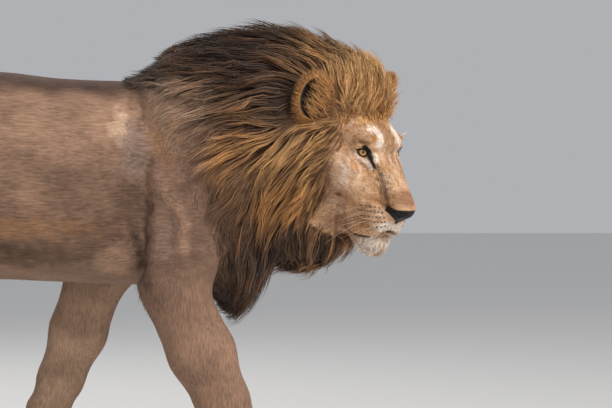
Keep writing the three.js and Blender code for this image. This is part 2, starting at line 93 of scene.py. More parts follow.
def turned(yaw, pitch=0.0):
    """The axes, as columns, of what faces +X, turned in degrees by yaw to its left and by pitch nose down."""
    c, s = math.cos(math.radians(yaw)), math.sin(math.radians(yaw))
    d, e = math.cos(math.radians(pitch)), math.sin(math.radians(pitch))
    return np.array([[c, -s, 0], [s, c, 0], [0, 0, 1]]) @ np.array([[d, 0, e], [0, 1, 0], [-e, 0, d]])


HEAD_AXES = turned(-HEAD_TURN, HEAD_DIP)


def to_head(p):
    """Points (3, N) of the lion's frame, in the head's, whose origin is between the eyes."""
    return HEAD_AXES.T @ (p - column(*BETWEEN_EYES))


def from_head(h):
    """Points of the head's frame, in the lion's."""
    return HEAD_AXES @ h + column(*BETWEEN_EYES)


def box_middle(node):
    """The middle of the box round a solid, in the row frame."""
    low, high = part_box(node)
    return (np.array(low) + np.array(high)) / 2


EYES_MIDDLE = (box_middle("eye_right") + box_middle("eye_left")) / 2
HOME = EYES_MIDDLE / MM - from_head(column(EYE[0], 0, 0))[:, 0]


def in_row(p):
    """Points (3, N) of the lion's frame as (N, 3) in the row frame, in metres."""
    return (p + HOME[:, None]).T * MM


def size_of(v):
    """The lengths of vectors (3, N)."""
    return np.sqrt((v * v).sum(0))


def norm(v):
    """Vectors (3, N) brought to length 1."""
    return v / np.maximum(size_of(v), TINY)


def far_from(p, place):
    """How far points (3, N) are from a place."""
    return size_of(p - column(*place))


def step(low, high, v):
    """0 below low, 1 above high, smooth between; falling where low is above high."""
    t = np.clip((v - low) / (high - low), 0, 1)
    return t * t * (3 - 2 * t)


def mirrored(p):
    """Points brought over to the left side of their frame."""
    return np.stack([p[0], np.abs(p[1]), p[2]])


def side_of(p):
    """-1 on the right side, 1 on the left."""
    return np.where(p[1] < 0, -1.0, 1.0)


def flipped(v, side):
    """Points or directions of the left side, brought to the right one where side is -1."""
    return np.stack([v[0], v[1] * side, v[2]])


# ---------------------------------------------------------------- shapes: points (3, N) => distances (N)


def blend(a, b, k):
    """The nearer of two distances, with the crease between the shapes filled over a width k."""
    h = np.maximum(k - np.abs(a - b), 0) / k
    return np.minimum(a, b) - h * h * k / 4


def flesh(k, shapes):
    """Several shapes in one, each melting into the rest over a width k."""
    return lambda p: functools.reduce(lambda d, shape: blend(d, shape(p), k), shapes[1:], shapes[0](p))


def bone(a, b, start, end):
    """A length of limb from a to b. Each end has [radius seen from the side, radius seen from the front]."""
    a, way = np.array(a, float)[:, None], np.subtract(b, a).astype(float)

    def field(p):
        t = np.clip(way @ (p - a) / (way @ way), 0, 1)
        d = p - a - way[:, None] * t
        side, front = start[0] + (end[0] - start[0]) * t, start[1] + (end[1] - start[1]) * t
        share = np.sqrt((d[0] ** 2 + d[2] ** 2) / side**2 + (d[1] / front) ** 2) + TINY
        return (size_of(d) + TINY) * (1 - 1 / share)

    return field


def limb(k, joints):
    """A run of bones through joints, each joint being [point, [side radius, front radius]]."""
    return flesh(k, [bone(p, q, r, s) for (p, r), (q, s) in zip(joints, joints[1:])])


def ellipsoid(middle, radii):
    """An egg-like body round a middle."""
    middle, radii = column(*middle), column(*radii)

    def field(p):
        share = size_of((p - middle) / radii) + TINY
        return (size_of(p - middle) + TINY) * (1 - 1 / share)

    return field


def both_sides(shape):
    """A shape of the left side and its mirror image."""
    return lambda p: shape(mirrored(p))


def through(points):
    """A smooth curve through points [x, value]."""
    x, v = np.array(points, float).T
    before, after = np.maximum(np.arange(len(x)) - 1, 0), np.minimum(np.arange(len(x)) + 1, len(x) - 1)
    slope = (v[after] - v[before]) / (x[after] - x[before])

    def curve(at):
        i = np.clip(np.searchsorted(x, at) - 1, 0, len(x) - 2)
        w = x[i + 1] - x[i]
        t = np.clip((at - x[i]) / w, 0, 1)
        rise = t * t * (3 - 2 * t)
        return v[i] + (v[i + 1] - v[i]) * rise + w * t * (1 - t) * ((1 - t) * slope[i] - t * slope[i + 1])

    return curve


def barrel(top, bottom, half_width, fullness):
    """A body along X whose upper and lower outline and half width are curves, with a full oval as section."""

    def field(p):
        up, low, side = top(p[0]), bottom(p[0]), half_width(p[0])
        dy, dz = np.abs(p[1]), np.abs(p[2] - (up + low) / 2)
        share = ((dy / side) ** fullness + (2 * dz / (up - low)) ** fullness) ** (1 / fullness) + TINY
        return (np.hypot(dy, dz) + TINY) * (1 - 1 / share)

    return field


def between(x0, x1, shape):
    """A shape kept between two values of x."""
    return lambda p: np.maximum(np.maximum(shape(p), p[0] - x1), x0 - p[0])


def near(low, high, shape):
    """A shape worked out only inside a box round it, and taken as far off elsewhere."""
    low, high = column(*low), column(*high)

    def field(p):
        d = np.full(p.shape[1], 400.0)
        close = ((p > low) & (p < high)).all(0)
        if close.any():
            d[close] = shape(p[:, close])
        return d

    return field


SAMPLE = 0.5  # how far off, along each axis, a field is read to find its slope


def slope_of(field, p):
    """The slope of a field at points, from four samples round each, and how steep it is."""
    corners = [column(*c) for c in ([1, 1, 1], [1, -1, -1], [-1, 1, -1], [-1, -1, 1])]
    slope = sum(c * field(p + c * SAMPLE) for c in corners) / (4 * SAMPLE)
    return slope, np.maximum(size_of(slope), 1e-6)


def settle(field, p, rounds=4, reach=30.0):
    """Points moved onto the surface of a field along its slope."""
    for _ in range(rounds):
        slope, steepness = slope_of(field, p)
        p = p - slope / steepness * np.clip(field(p) / np.maximum(steepness, 0.4), -reach, reach)
    return p


def swing(start, length, degrees, aside=0.0):
    """The end of a bone that swings forward from straight down."""
    a = math.radians(degrees)
    return [start[0] + length * math.sin(a), start[1] + aside, start[2] - length * math.cos(a)]


# ---------------------------------------------------------------- trunk

back_line = through([
    [-1240, 900], [-1165, 1004], [-1050, 1074], [-900, 1112], [-700, 1130], [-457, WITHERS + 24],
    [-300, WITHERS + 7], [-130, WITHERS], [0, WITHERS - 2], [160, 1075], [330, 1060],
])
belly_line = through([
    [-1240, 800], [-1100, 770], [-950, 715], [-800, 662], [-600, 606], [-400, BELLY + 3],
    [-150, BELLY - 7], [0, BELLY - 10], [120, 615], [330, 760],
])
rib_line = through([
    [-1240, 70], [-1100, 128], [-950, 158], [-800, 176], [-600, 204], [-400, 216], [-200, 206],
    [0, 176], [160, 150], [330, 120],
])

trunk = flesh(60, [
    between(-1120, 180, barrel(back_line, belly_line, rib_line, 2.25)),
    ellipsoid([-1040, 0, 920], [140, 128, 150]),  # rump
    both_sides(bone([-880, 62, 1062], [-1080, 66, 1000], [48, 40], [44, 40])),  # hip bones
    ellipsoid([130, 0, 800], [120, 140, 190]),  # breast under the mane
])

# ---------------------------------------------------------------- legs


def toe(centre, n):
    """A toe of a paw from its knuckle to its tip; n counts from the middle of the paw to its left."""
    forward = centre[0] + PAW_LENGTH * (0.27 - 0.035 * n * n)
    aside = n * PAW_WIDTH / 4.5
    knuckle = [forward - 34, centre[1] + 0.82 * aside, 46]
    return bone(knuckle, [forward + 16, centre[1] + aside, 24], [27, 18], [22, 19])


def paw(centre, side):
    """A paw with its four toes, standing on the floor."""
    toes = [toe(centre, n) for n in (-1.5, -0.5, 0.5, 1.5)]
    pad = ellipsoid([centre[0] - 22, centre[1], 26], [66, PAW_WIDTH * 0.41, 34])
    instep = ellipsoid([centre[0] - 16, centre[1] - 2 * side, 48], [64, PAW_WIDTH * 0.41, 40])
    return flesh(9, [flesh(24, [pad, instep]), *toes])


def leg_near(joints, side, shape):
    """A leg's shape, worked out only round its joints."""
    x = [joint[0] for joint in joints]
    y = sorted((side * -55, side * 480))
    return near([min(x) - 330, y[0], -80], [max(x) + 260, y[1], 1240], shape)


def foreleg(shoulder, swings, side, girth):
    """A foreleg from shoulder blade to paw. swings are degrees forward: upper arm, forearm, metacarpus."""
    blade = [shoulder[0] - 120, side * 118, shoulder[2] + 185]
    elbow = swing(shoulder, HUMERUS, swings[0], side * 14)
    middle = swing(elbow, FOREARM * 0.45, swings[1])
    wrist = swing(elbow, FOREARM, swings[1], -side * 4)
    ankle = swing(wrist, FORE_METAPODIUM, swings[2])
    centre = [ankle[0] + 34, ankle[1], 0]
    point = [elbow[0] - 52, elbow[1], elbow[2] + 22]
    shape = flesh(34, [
        limb(30, [[blade, [78, 46]], [shoulder, [84, 58]], [elbow, [72, 56]]]),
        bone([blade[0] + 20, side * 150, shoulder[2] + 60], point, [92, 50], [40, 38]),  # triceps
        limb(24, [
            [elbow, [80 * girth, 58]], [middle, [84 * girth, 58]],
            [swing(elbow, FOREARM * 0.8, swings[1]), [68 * girth, 49]],
            [wrist, [58 * girth, 50]], [ankle, [48, 52]],
        ]),
        bone(point, swing(elbow, FOREARM * 0.4, swings[1] - 8), [34, 34], [48, 40]),
        ellipsoid([wrist[0] - 46, wrist[1], wrist[2] - 12], [16, 16, 22]),  # carpal pad
        paw(centre, side),
    ])
    return leg_near([shoulder, elbow, wrist, ankle, centre], side, shape)


def hindleg(hip, swings, side):
    """A hind leg from the hip to the paw. swings are degrees forward: thigh, shank, metatarsus."""
    stifle = swing(hip, FEMUR, swings[0], side * 30)
    hock = swing(stifle, SHANK, swings[1], side * 2)
    ankle = swing(hock, HIND_METAPODIUM, swings[2])
    centre = [ankle[0] + 34, ankle[1], 0]
    calf = swing(stifle, SHANK * 0.42, swings[1] - 8)
    heel = [hock[0] - 26, hock[1], hock[2] + 26]
    thigh_back = [hip[0] - 62, hip[1] + side * 8, hip[2] - 10]
    fold_low = [stifle[0] + 6, stifle[1] - side * 44, stifle[2] + 90]
    fold_high = [stifle[0] + 40, side * 96, 740]
    shape = flesh(36, [
        bone(hip, stifle, [150, 84], [88, 66]),
        bone(thigh_back, calf, [112, 70], [58, 48]),
        bone(fold_low, fold_high, [54, 34], [40, 40]),  # fold of the flank
        limb(22, [[stifle, [80, 62]], [calf, [70, 55]], [hock, [44, 37]]]),
        bone(calf, heel, [38, 32], [27, 25]),  # tendon to the heel
        limb(18, [[heel, [28, 28]], [hock, [46, 37]], [ankle, [43, 50]]]),
        paw(centre, side),
    ])
    return leg_near([hip, stifle, hock, ankle, centre], side, shape)


legs = [
    foreleg([130, -SHOULDER_Y + 18, 838], [-27, 23, 17], -1, 1),
    foreleg([14, SHOULDER_Y - 18, 776], [-53, -21, -5], 1, 0.9),
    hindleg([-985, -HIP_Y + 34, 880], [12, -43, 9], -1),
    hindleg([-965, HIP_Y - 34, 878], [30, -21, 22], 1),
]


# ---------------------------------------------------------------- head, in its own frame

NOSE = [114, 0, -112]
face = flesh(22, [
    ellipsoid([-118, 0, 14], [130, 90, 84]),  # skull
    ellipsoid([-34, 0, 22], [66, 70, 42]),  # forehead
    both_sides(ellipsoid([-9, 37, 25], [28, 31, 20])),  # brows
    both_sides(ellipsoid([EYE[0] - 6, EYE[1] - 2, -4], [21, 28, 26])),  # eyelids
    both_sides(ellipsoid([-74, 74, -58], [86, 42, 60])),  # cheekbones
    bone([6, 0, -30], [104, 0, -106], [37, 46], [32, 34]),  # bridge of the nose
    both_sides(bone([14, 25, -28], [99, 14, -100], [30, 28], [27, 20])),  # and its two edges
    both_sides(ellipsoid([4, 50, -108], [60, 30, 60])),  # upper cheeks
    bone([0, 0, -92], [70, 0, -134], [58, 60], [40, 42]),  # upper jaw
    both_sides(ellipsoid([57, 27, -151], [43, 31, 38])),  # whisker pads
    both_sides(ellipsoid([30, 36, -178], [50, 24, 32])),  # corners of the lips
    ellipsoid(NOSE, [26, 32, 22]),
    bone([-96, 0, -150], [34, 0, -202], [54, 68], [34, 40]),  # lower jaw
    ellipsoid([49, 0, -211], [38, 36, 33]),  # chin
    both_sides(ellipsoid([-94, 70, -128], [70, 42, 72])),  # jaw muscles
])

EAR_AXES = turned(EAR_FACING)


def to_ear(p):
    """Points of the head's frame in the left ear's, which faces forward and outward."""
    return EAR_AXES.T @ (p - column(*EAR))


EAR_RADII = [27, 44, 64]
HOLLOW = [24, -1, 5]  # middle of the hollow of the ear
HOLLOW_RADII = [37, 37, 55]
ear_flap = ellipsoid([0, 0, 0], EAR_RADII)
ear_root = bone([-128, 66, 36], [-140, 112, 62], [34, 30], [27, 27])


def ears(p):
    """The ears before they are hollowed."""
    q = mirrored(p)
    return blend(ear_flap(to_ear(q)), ear_root(q), 16)


def hollow_ears(h):
    """Points on the front of the ears, sunk into the hollow."""
    q = to_ear(mirrored(h))
    _, aside, up = (q - column(*HOLLOW)) / column(*HOLLOW_RADII)
    left = 1 - aside**2 - up**2
    floor = np.where(left > 0, HOLLOW[0] - HOLLOW_RADII[0] * np.sqrt(np.maximum(left, 0)), FAR)
    on_ear = np.abs(ear_flap(q)) < 8
    q[0] = np.where(on_ear, np.minimum(q[0], floor), q[0])
    return np.where(on_ear, flipped(EAR_AXES @ q + column(*EAR), np.sign(h[1])), h)


# ---------------------------------------------------------------- neck and mane, out to the tips of the hair

mane_top = through([
    [-190, 1085], [-130, 1114], [-60, 1164], [0, 1206], [100, 1238], [200, 1250], [300, 1243], [400, 1206],
    [470, 1150],
])
mane_bottom = through([
    [-190, 1040], [-130, 985], [-60, 850], [0, 690], [80, 530], [140, 500], [190, 556], [235, 612],
    [330, 612], [400, 640], [470, 720],
])
mane_side = through([
    [-190, 60], [-130, 128], [-60, 205], [0, 236], [100, 248], [200, 226], [300, 172], [400, 130], [470, 100],
])
neck_centre = through([[-190, 0], [100, 0], [200, -16], [300, -46], [400, -90], [470, -120]])
neck_barrel = barrel(mane_top, mane_bottom, mane_side, 2.0)
crown = ellipsoid([-142, 0, 62], [144, 130, 160])
ruff = both_sides(ellipsoid([-170, 88, -60], [104, 116, 140]))
beard = ellipsoid([-90, 0, -198], [108, 92, 96])
breast = ellipsoid([130, 0, 660], [90, 160, 150])


def neck(p):
    """The mane round the neck, whose middle bends aside with the head."""
    return between(-185, 430, neck_barrel)(np.stack([p[0], p[1] - neck_centre(p[0]), p[2]]))


def mane(p):
    """The whole mane out to the tips of its hair."""
    h = to_head(p)
    parts = (neck(p), crown(h), ruff(h), beard(h), breast(p))
    return functools.reduce(lambda a, b: blend(a, b, 50), parts)


# ---------------------------------------------------------------- tail

TAIL_POINTS = [
    [RUMP_X + 60, 0, 1000], [RUMP_X, 0, 962], [-1232, 6, 850], [-1276, 16, 700], [-1296, 30, 540],
    [-1336, 40, 400], [-1424, 46, 318], [-1520, 48, 298], [-1612, 48, 316],
]


def smooth_path(points, count):
    """Evenly spaced points (count, 3) on a smooth curve through a few."""
    p = np.array(points, float)
    at = np.concatenate([[0], np.cumsum(np.sqrt(((p[1:] - p[:-1]) ** 2).sum(1)) ** 0.5)])
    fine = np.linspace(0, at[-1], 40 * len(p))
    dense = np.stack([through(np.stack([at, p[:, k]], 1))(fine) for k in range(3)], 1)
    run = np.concatenate([[0], np.cumsum(np.sqrt(((dense[1:] - dense[:-1]) ** 2).sum(1)))])
    even = np.linspace(0, run[-1], count)
    return np.stack([np.interp(even, run, dense[:, k]) for k in range(3)], 1)


def tail_radius(t):
    """The radius of the tail's flesh, which runs on thinner inside the tuft."""
    in_tuft = max(0.0, (t - TUFT_START) / (1 - TUFT_START))
    return TAIL_ROOT_RADIUS + (TAIL_TIP_RADIUS - TAIL_ROOT_RADIUS) * math.sqrt(t) - BODY_COAT - 5 * in_tuft


TAIL_JOINTS = 27
tail_line = smooth_path(TAIL_POINTS, TAIL_JOINTS)
tail_girths = [[tail_radius(t)] * 2 for t in np.linspace(0, 1, TAIL_JOINTS).tolist()]
tail = limb(4, list(zip(tail_line.tolist()[:-2], tail_girths)))
tail_root = bone([RUMP_X + 70, 0, 990], [RUMP_X - 40, 0, 925], [52, 44], [40, 38])

# ---------------------------------------------------------------- folds and muscles of the body


def off_path(path, p):
    """How far points (3, N) are from a path, or from its view from the side where it has x and z alone."""
    if len(path[0]) == 2:
        p = p[[0, 2]]
    best = np.full(p.shape[1], FAR)
    for a, b in zip(path, path[1:]):
        a, way = column(*a), column(*np.subtract(b, a))
        t = np.clip((way * (p - a)).sum(0) / (way * way).sum(), 0, 1)
        best = np.minimum(best, ((p - a - way * t) ** 2).sum(0))
    return np.sqrt(best)


def ridge(off, width):
    """1 on the crest of a fold, falling away beside it."""
    return np.exp(-((off / width) ** 2))


RIGHT, LEFT = -1, 1

# Each fold: side, path in x and z, its width, and how far it rises, or sinks if below zero.
BODY_FOLDS = [
    (RIGHT, [[-66, 905], [-68, 800], [-72, 690], [-76, 590]], 11, -9),  # behind the near shoulder
    (RIGHT, [[-56, 880], [-36, 835], [0, 792], [20, 752], [14, 680]], 15, 8),  # edge of the triceps
    (RIGHT, [[-34, 790], [-20, 720], [-14, 640]], 20, -4),
    (RIGHT, [[-114, 735], [-102, 700], [-88, 660], [-86, 610]], 9, -6),  # loose skin above the elbow
    (RIGHT, [[-126, 722], [-150, 680], [-190, 640]], 18, 6),
    (RIGHT, [[-150, 980], [-120, 1040], [-60, 1085]], 30, 6),  # shoulder blade
    (RIGHT, [[-142, 1040], [-144, 985], [-136, 935]], 13, 5),  # folds of skin in front of the ribs
    (RIGHT, [[-112, 1020], [-110, 940], [-104, 860]], 14, -3),
    (RIGHT, [[-90, 1050], [-84, 1010], [-88, 970]], 8, -4),
    (RIGHT, [[-120, 1075], [-112, 1050], [-116, 1020]], 6, -3),
    (RIGHT, [[60, 400], [96, 300], [130, 210]], 15, -3),  # between the muscles of the forearm
    (RIGHT, [[-640, 800], [-700, 700], [-740, 640]], 30, -8),  # flank
    (RIGHT, [[-760, 860], [-700, 760], [-690, 690]], 24, 6),
    (LEFT, [[-200, 860], [-214, 760], [-250, 660]], 15, -8),
    (LEFT, [[-640, 800], [-700, 700], [-740, 640]], 30, -8),
    (LEFT, [[-760, 860], [-700, 760], [-690, 690]], 24, 6),
    (LEFT, [[-150, 980], [-120, 1040], [-60, 1085]], 30, 6),
]
RIBS = [(-260 - 62 * n, 12 + 1.5 * n) for n in range(6)]  # each rib's place along the back, and its lean


def body_relief(p):
    """How far the skin rises over the plain form in folds, ribs and muscles."""
    rise = np.zeros(p.shape[1])
    for side, path, width, height in BODY_FOLDS:
        rise += step(30, 80, side * p[1]) * height * ridge(off_path(path, p), width)
    for x, lean in RIBS:
        off = p[0] - x + (p[2] - 860) * lean / 60
        rise += 1.6 * ridge(off, 17) * step(700, 780, p[2]) * step(1010, 930, p[2])
    return rise


solid_body = flesh(46, [
    near([-1400, -500, 400], [420, 500, 1400], trunk),
    *legs,
    near([-1350, -200, 700], [-900, 200, 1200], tail_root),
])
whole_tail = near([-1720, -60, 200], [-1000, 160, 1120], tail)


def body_skin(p):
    """The skin of all but the head, under the coat."""
    return blend(solid_body(p), whole_tail(p), 20) + BODY_COAT - body_relief(p)


# ---------------------------------------------------------------- folds of the face

def laid(path, per=4):
    """A path on the left side of the face with its points closer together and brought onto the skin."""
    path = np.array(path, float)
    n = np.arange(len(path))
    fine = np.linspace(0, len(path) - 1, per * (len(path) - 1) + 1)
    between_them = np.stack([np.interp(fine, n, path[:, axis]) for axis in range(3)])
    return settle(lambda h: face(h) + FACE_COAT, between_them, 6).T


MOUTH_LINE = laid([
    [86, 0, -187], [82, 27, -192], [69, 45, -197], [54, 51, -200], [39, 52, -203], [20, 51, -206],
    [3, 48, -207], [-12, 50, -200],
])
TEAR_LINE = laid([[7, 63, 12], [13, 57, 4], [19, 53, -6]])
TEAR_TIP = laid([[19, 53, -6], [28, 50, -17], [36, 47, -27]])
# the path of the shade painted down the groove beside the bridge, on from the black tear line
TEAR_STREAK_SHADE = laid([[38, 47, -25], [57, 43, -38], [70, 43, -55], [78, 43, -70], [92, 41, -86]])
CLEFT = laid([[116, 0, -146], [104, 0, -160], [94, 0, -173], [86, 0, -184]])
MOUTH_CORNER = MOUTH_LINE[8:]
NOSTRIL = laid([[128, 23, -119], [122, 31, -114], [113, 39, -111], [101, 42, -105], [94, 43, -101]])
WHITE_BROW = laid([[-8, 44, 54], [-2, 31, 57], [13, 28, 49], [25, 31, 35], [27, 36, 24]])
LID_RIM = laid([[-4, 76, 5], [-12, 82, 3]])

# Each fold of the face: its path, its width, and how far it rises, or sinks if below zero.
FACE_FOLDS = [
    (MOUTH_LINE, 3.6, -8.5),
    (laid([[80, 31, -186], [64, 51, -190], [38, 57, -194], [12, 56, -196]]), 6, 2.6),  # edge of the upper lip
    (laid([[74, 20, -200], [58, 42, -209], [36, 46, -213]]), 5, 1.6),  # edge of the lower lip
    (CLEFT, 2.8, -5.0),
    (laid([[128, 6, -130], [114, 2, -150]]), 8, -4.5),
    (laid([[126, 34, -127], [112, 40, -122], [94, 46, -110], [72, 54, -104], [48, 68, -106]]), 6, -3.6),
    (laid([[86, 42, -92], [62, 45, -58], [40, 48, -34]]), 7, -2.6),  # beside the bridge of the nose
    (laid([[40, 60, -44], [58, 55, -70], [70, 54, -90]]), 9, 2.2),
    (TEAR_LINE, 4, -3.0),
    (laid([[30, 53, -32], [10, 68, -30], [-12, 84, -20]]), 5, -2.2),  # below the lower lid
    (laid([[26, 60, -48], [2, 80, -46], [-20, 94, -34]]), 8, 2.6),
    (laid([[22, 42, 24], [10, 56, 28], [-8, 72, 22], [-20, 80, 12]]), 5, -2.8),  # fold over the upper lid
    (laid([[26, 34, 36], [8, 56, 40], [-14, 72, 32]]), 8, 3.2),
    (laid([[26, 66, -128], [8, 80, -122], [-20, 92, -112]]), 8, -3.0),  # cheek behind the whiskers
    (laid([[-20, 88, -60], [-6, 92, -84], [2, 84, -106]]), 10, 2.0),
    (laid([[30, 9, 32], [12, 8, 50], [-11, 7, 67], [-40, 8, 84]]), 6, -2.8),  # furrows of the brow
    (laid([[-18, 40, 62], [-34, 62, 56], [-48, 74, 40]]), 7, 2.2),
]

# The rows of whisker roots on the left: the ends of each, and how many roots it has.
WHISKER_ROWS = [
    ([45, 71, -122], [81, 46, -115], 5), ([44, 69, -135], [90, 44, -124], 7),
    ([47, 65, -148], [98, 41, -135], 7), ([58, 61, -157], [101, 37, -146], 7),
    ([72, 57, -168], [101, 32, -157], 5),
]
whisker_roots = np.concatenate([laid(ends, count - 1) for *ends, count in WHISKER_ROWS])

# The opening of the lids, seen from the eyeball's centre on the left side: its corners and its size.
LID_OUTER = np.array([0.22, 0.933, 0.282])
LID_INNER = np.array([0.998, -0.047, -0.023])
LID_MIDDLE = (LID_OUTER + LID_INNER) / np.linalg.norm(LID_OUTER + LID_INNER)
LID_LONG = (LID_OUTER - LID_INNER) / np.linalg.norm(LID_OUTER - LID_INNER)
LID_TALL = np.cross(LID_LONG, LID_MIDDLE)
LID_TALL = LID_TALL * (1 if LID_TALL[2] > 0 else -1)
LID_HALF_LENGTH = math.radians(42)
LID_HALF_HEIGHT = math.radians(24)
UPPER_LID, LOWER_LID = 0.74, 0.98  # how far each opens, as a share of that height
LEAST_OPENING = math.radians(3)
LID_CURVE = 2.2
LID_THICKNESS = 2.8


def eye_view(h):
    """Points of the head's frame as seen from the nearer eyeball's centre: angles along and across the lids,
    how far off they are, and the share of that which lies ahead."""
    q = mirrored(h) - column(*EYE)
    r = size_of(q) + 1e-6
    ahead = LID_MIDDLE @ (q / r)
    return np.arctan2(LID_LONG @ (q / r), ahead), np.arctan2(LID_TALL @ (q / r), ahead), r, ahead


def lid_share(h):
    """1 on the edge of the opening of the lids, less inside it and more outside, and how far from the
    eyeball's centre the points are. The upper lid is flatter than the lower."""
    a, b, r, ahead = eye_view(h)
    u = np.abs(a / LID_HALF_LENGTH)
    height = LID_HALF_HEIGHT * np.sqrt(1 - np.minimum(u, 1) ** LID_CURVE)
    height = np.maximum(height * np.where(b > 0, UPPER_LID, LOWER_LID), LEAST_OPENING)
    share = np.sqrt(u**2 * 0.55 + (b / height) ** 2 * (1 - 0.55 * np.minimum(u**2, 1)))
    return np.where(ahead > 0.2, np.maximum(share, u), 9.0), r


def root_distance(h):
    """How far points on the face are from the nearest root of a whisker."""
    q = mirrored(h)
    return np.min([far_from(q, root) for root in whisker_roots], 0)


def face_relief(h):
    """How far the face rises over its plain form in folds and creases."""
    q = mirrored(h)
    rise = np.zeros(h.shape[1])
    for path, width, height in FACE_FOLDS:
        rise += height * ridge(off_path(path, q), width)
    rise -= 9 * ridge(off_path(NOSTRIL, q), 4.4)
    rise -= 9 * ridge((q - column(136, 34, -133)) / column(27, 17, 16), 1).prod(0)  # the pad narrows downward
    return rise + 0.8 * ridge(root_distance(h), 3)


def head_skin(h):
    """The head in its own frame, lids and ears included."""
    d = face(h) + FACE_COAT
    d = blend(d, far_from(mirrored(h), EYE) - EYE_RADIUS - LID_THICKNESS, 5)
    return blend(d, ears(h), 14) - face_relief(h)


HEAD_REACH = 330.0


def with_head(d, p, head):
    """Distances d of points from the body, with a shape of the head's frame melted in near it."""
    h = to_head(p)
    close = (np.abs(h) < HEAD_REACH).all(0)
    if close.any():
        d[close] = blend(d[close], head(h[:, close]), 16)
    return d


def lion_skin(p):
    """The one skin under all hair."""
    return with_head(blend(body_skin(p), mane(p) + MANE_DEPTH, 30), p, head_skin)


def open_lids(h):
    """Points on the lids, sunk into the eyeball where the lids are open, with a crisp edge round that."""
    share, r = lid_share(h)
    close = r < EYE_RADIUS + LID_THICKNESS + 6
    q = mirrored(h) - column(*EYE)
    sunk = close & (share < 0.985)
    edge = close & (np.abs(share - 1) < 0.03)
    q = np.where(sunk, q * (EYE_RADIUS - 4) / r, q)
    q = np.where(edge, q * (EYE_RADIUS + 0.6) / r, q) + column(*EYE)
    return np.where(sunk | edge, flipped(q, side_of(h)), h)


# ---------------------------------------------------------------- from the implicit surface to the skin

CELL = 11.5
BLOCK = 4  # the grid is read in blocks of so many cells first
SKIN_LOW, SKIN_HIGH = np.array([-1720.0, -330, -40]), np.array([700.0, 330, 1290])


def per_node(blocks):
    """One value for each block, given to all its nodes."""
    return blocks.repeat(BLOCK, 0).repeat(BLOCK, 1).repeat(BLOCK, 2)


def surface(field, low, high, cell):
    """The surface of a field between two corners, as vertices (N, 3) and quads, on a grid of cells."""
    blocks = np.ceil((high - low) / cell / BLOCK).astype(int)
    spots = np.indices(blocks).reshape(3, -1)
    rough = field(low[:, None] + (spots * BLOCK + (BLOCK - 1) / 2) * cell).reshape(blocks)
    value = per_node(np.sign(rough) * cell)
    close = per_node(np.abs(rough) < 8 * cell)
    value[close] = field(low[:, None] + np.argwhere(close).T * cell)
    inside = value < 0
    corners = np.array([[c & 1, (c >> 1) & 1, c >> 2] for c in range(8)])
    extent = [n - 1 for n in value.shape]
    windows = [tuple(slice(c, c + n) for c, n in zip(corner, extent)) for corner in corners]
    full = sum(inside[window].astype(int) for window in windows)
    cells = np.argwhere((full > 0) & (full < 8))
    number = np.full(extent, -1)
    number[tuple(cells.T)] = np.arange(len(cells))
    total, crossings = np.zeros((len(cells), 3)), np.zeros(len(cells))
    for i, a in enumerate(corners):
        for b in corners[i + 1:]:
            if np.abs(a - b).sum() != 1:
                continue
            va, vb = value[tuple((cells + a).T)], value[tuple((cells + b).T)]
            cut = (va < 0) != (vb < 0)
            t = np.where(cut, va / np.where(cut, va - vb, 1), 0)
            total += np.where(cut, 1, 0)[:, None] * a + t[:, None] * (b - a)
            crossings += cut
    points = low + (cells + total / crossings[:, None]) * cell
    quads = []
    for axis in range(3):
        u, v = np.roll(np.eye(3, dtype=int), -axis - 1, 0)[:2]
        here = np.argwhere(inside ^ np.roll(inside, -1, axis))
        here = here[((here > 0) & (here < extent)).all(1)]
        ring = np.stack([number[tuple((here - d).T)] for d in (u + v, v, 0 * u, u)], 1)
        quads.append(np.where(inside[tuple(here.T)][:, None], ring, ring[:, ::-1]))
    return points, np.concatenate(quads)


def add_object(name, data):
    """An object in the scene, at the origin."""
    holder = bpy.data.objects.new(name, data)
    bpy.context.scene.collection.objects.link(holder)
    return holder


def new_mesh(name, points, sizes, corners):
    """A mesh of faces with the given numbers of corners."""
    mesh = bpy.data.meshes.new(name)
    mesh.vertices.add(len(points))
    mesh.vertices.foreach_set("co", np.asarray(points, np.float32).ravel())
    mesh.loops.add(len(corners))
    mesh.loops.foreach_set("vertex_index", np.asarray(corners, np.int32))
    mesh.polygons.add(len(sizes))
    starts = np.concatenate([[0], np.cumsum(sizes)[:-1]])
    mesh.polygons.foreach_set("loop_start", starts.astype(np.int32))
    mesh.polygons.foreach_set("loop_total", np.asarray(sizes, np.int32))
    mesh.update(calc_edges=True)
    mesh.shade_smooth()
    return mesh


def read(items, name, width=3, kind=np.float32):
    """What each item of a mesh has under a name, in rows of the given width."""
    flat = np.empty(len(items) * width, kind)
    items.foreach_get(name, flat)
    return flat.reshape(-1, width)


def vectors(items, name):
    """Points or directions (3, N) of a mesh's vertices or faces."""
    return read(items, name).T.astype(float)


def move_points(mesh, points):
    """Moves the vertices of a mesh to points (N, 3)."""
    mesh.vertices.foreach_set("co", points.ravel().astype(np.float32))
    mesh.update()


def on_face(p):
    """The face as far as its short hair goes."""
    h = to_head(p)
    return (h[0] > -82) & (h[0] < 170) & (np.abs(h[1]) < 112) & (h[2] < 92) & (h[2] > -255)


def on_ears(p):
    """The flaps of the ears."""
    return ear_flap(to_ear(mirrored(to_head(p)))) < 9


PAW_TOP = 80


def on_paws(p):
    """The paws, up to the ankles."""
    return p[2] < PAW_TOP


def on_features(p):
    """The nose, the lips and what is round the eyes."""
    h = mirrored(to_head(p))
    muzzle = (h[0] > 82) & (h[2] < -92) & (h[2] > -200)
    return (far_from(h, EYE) < 36) | muzzle | (off_path(MOUTH_LINE, h) < 9)


def on_lids(p):
    """The edges of the lids."""
    share, r = lid_share(to_head(p))
    return (share < 1.5) & (share > 0.7) & (r < 34)


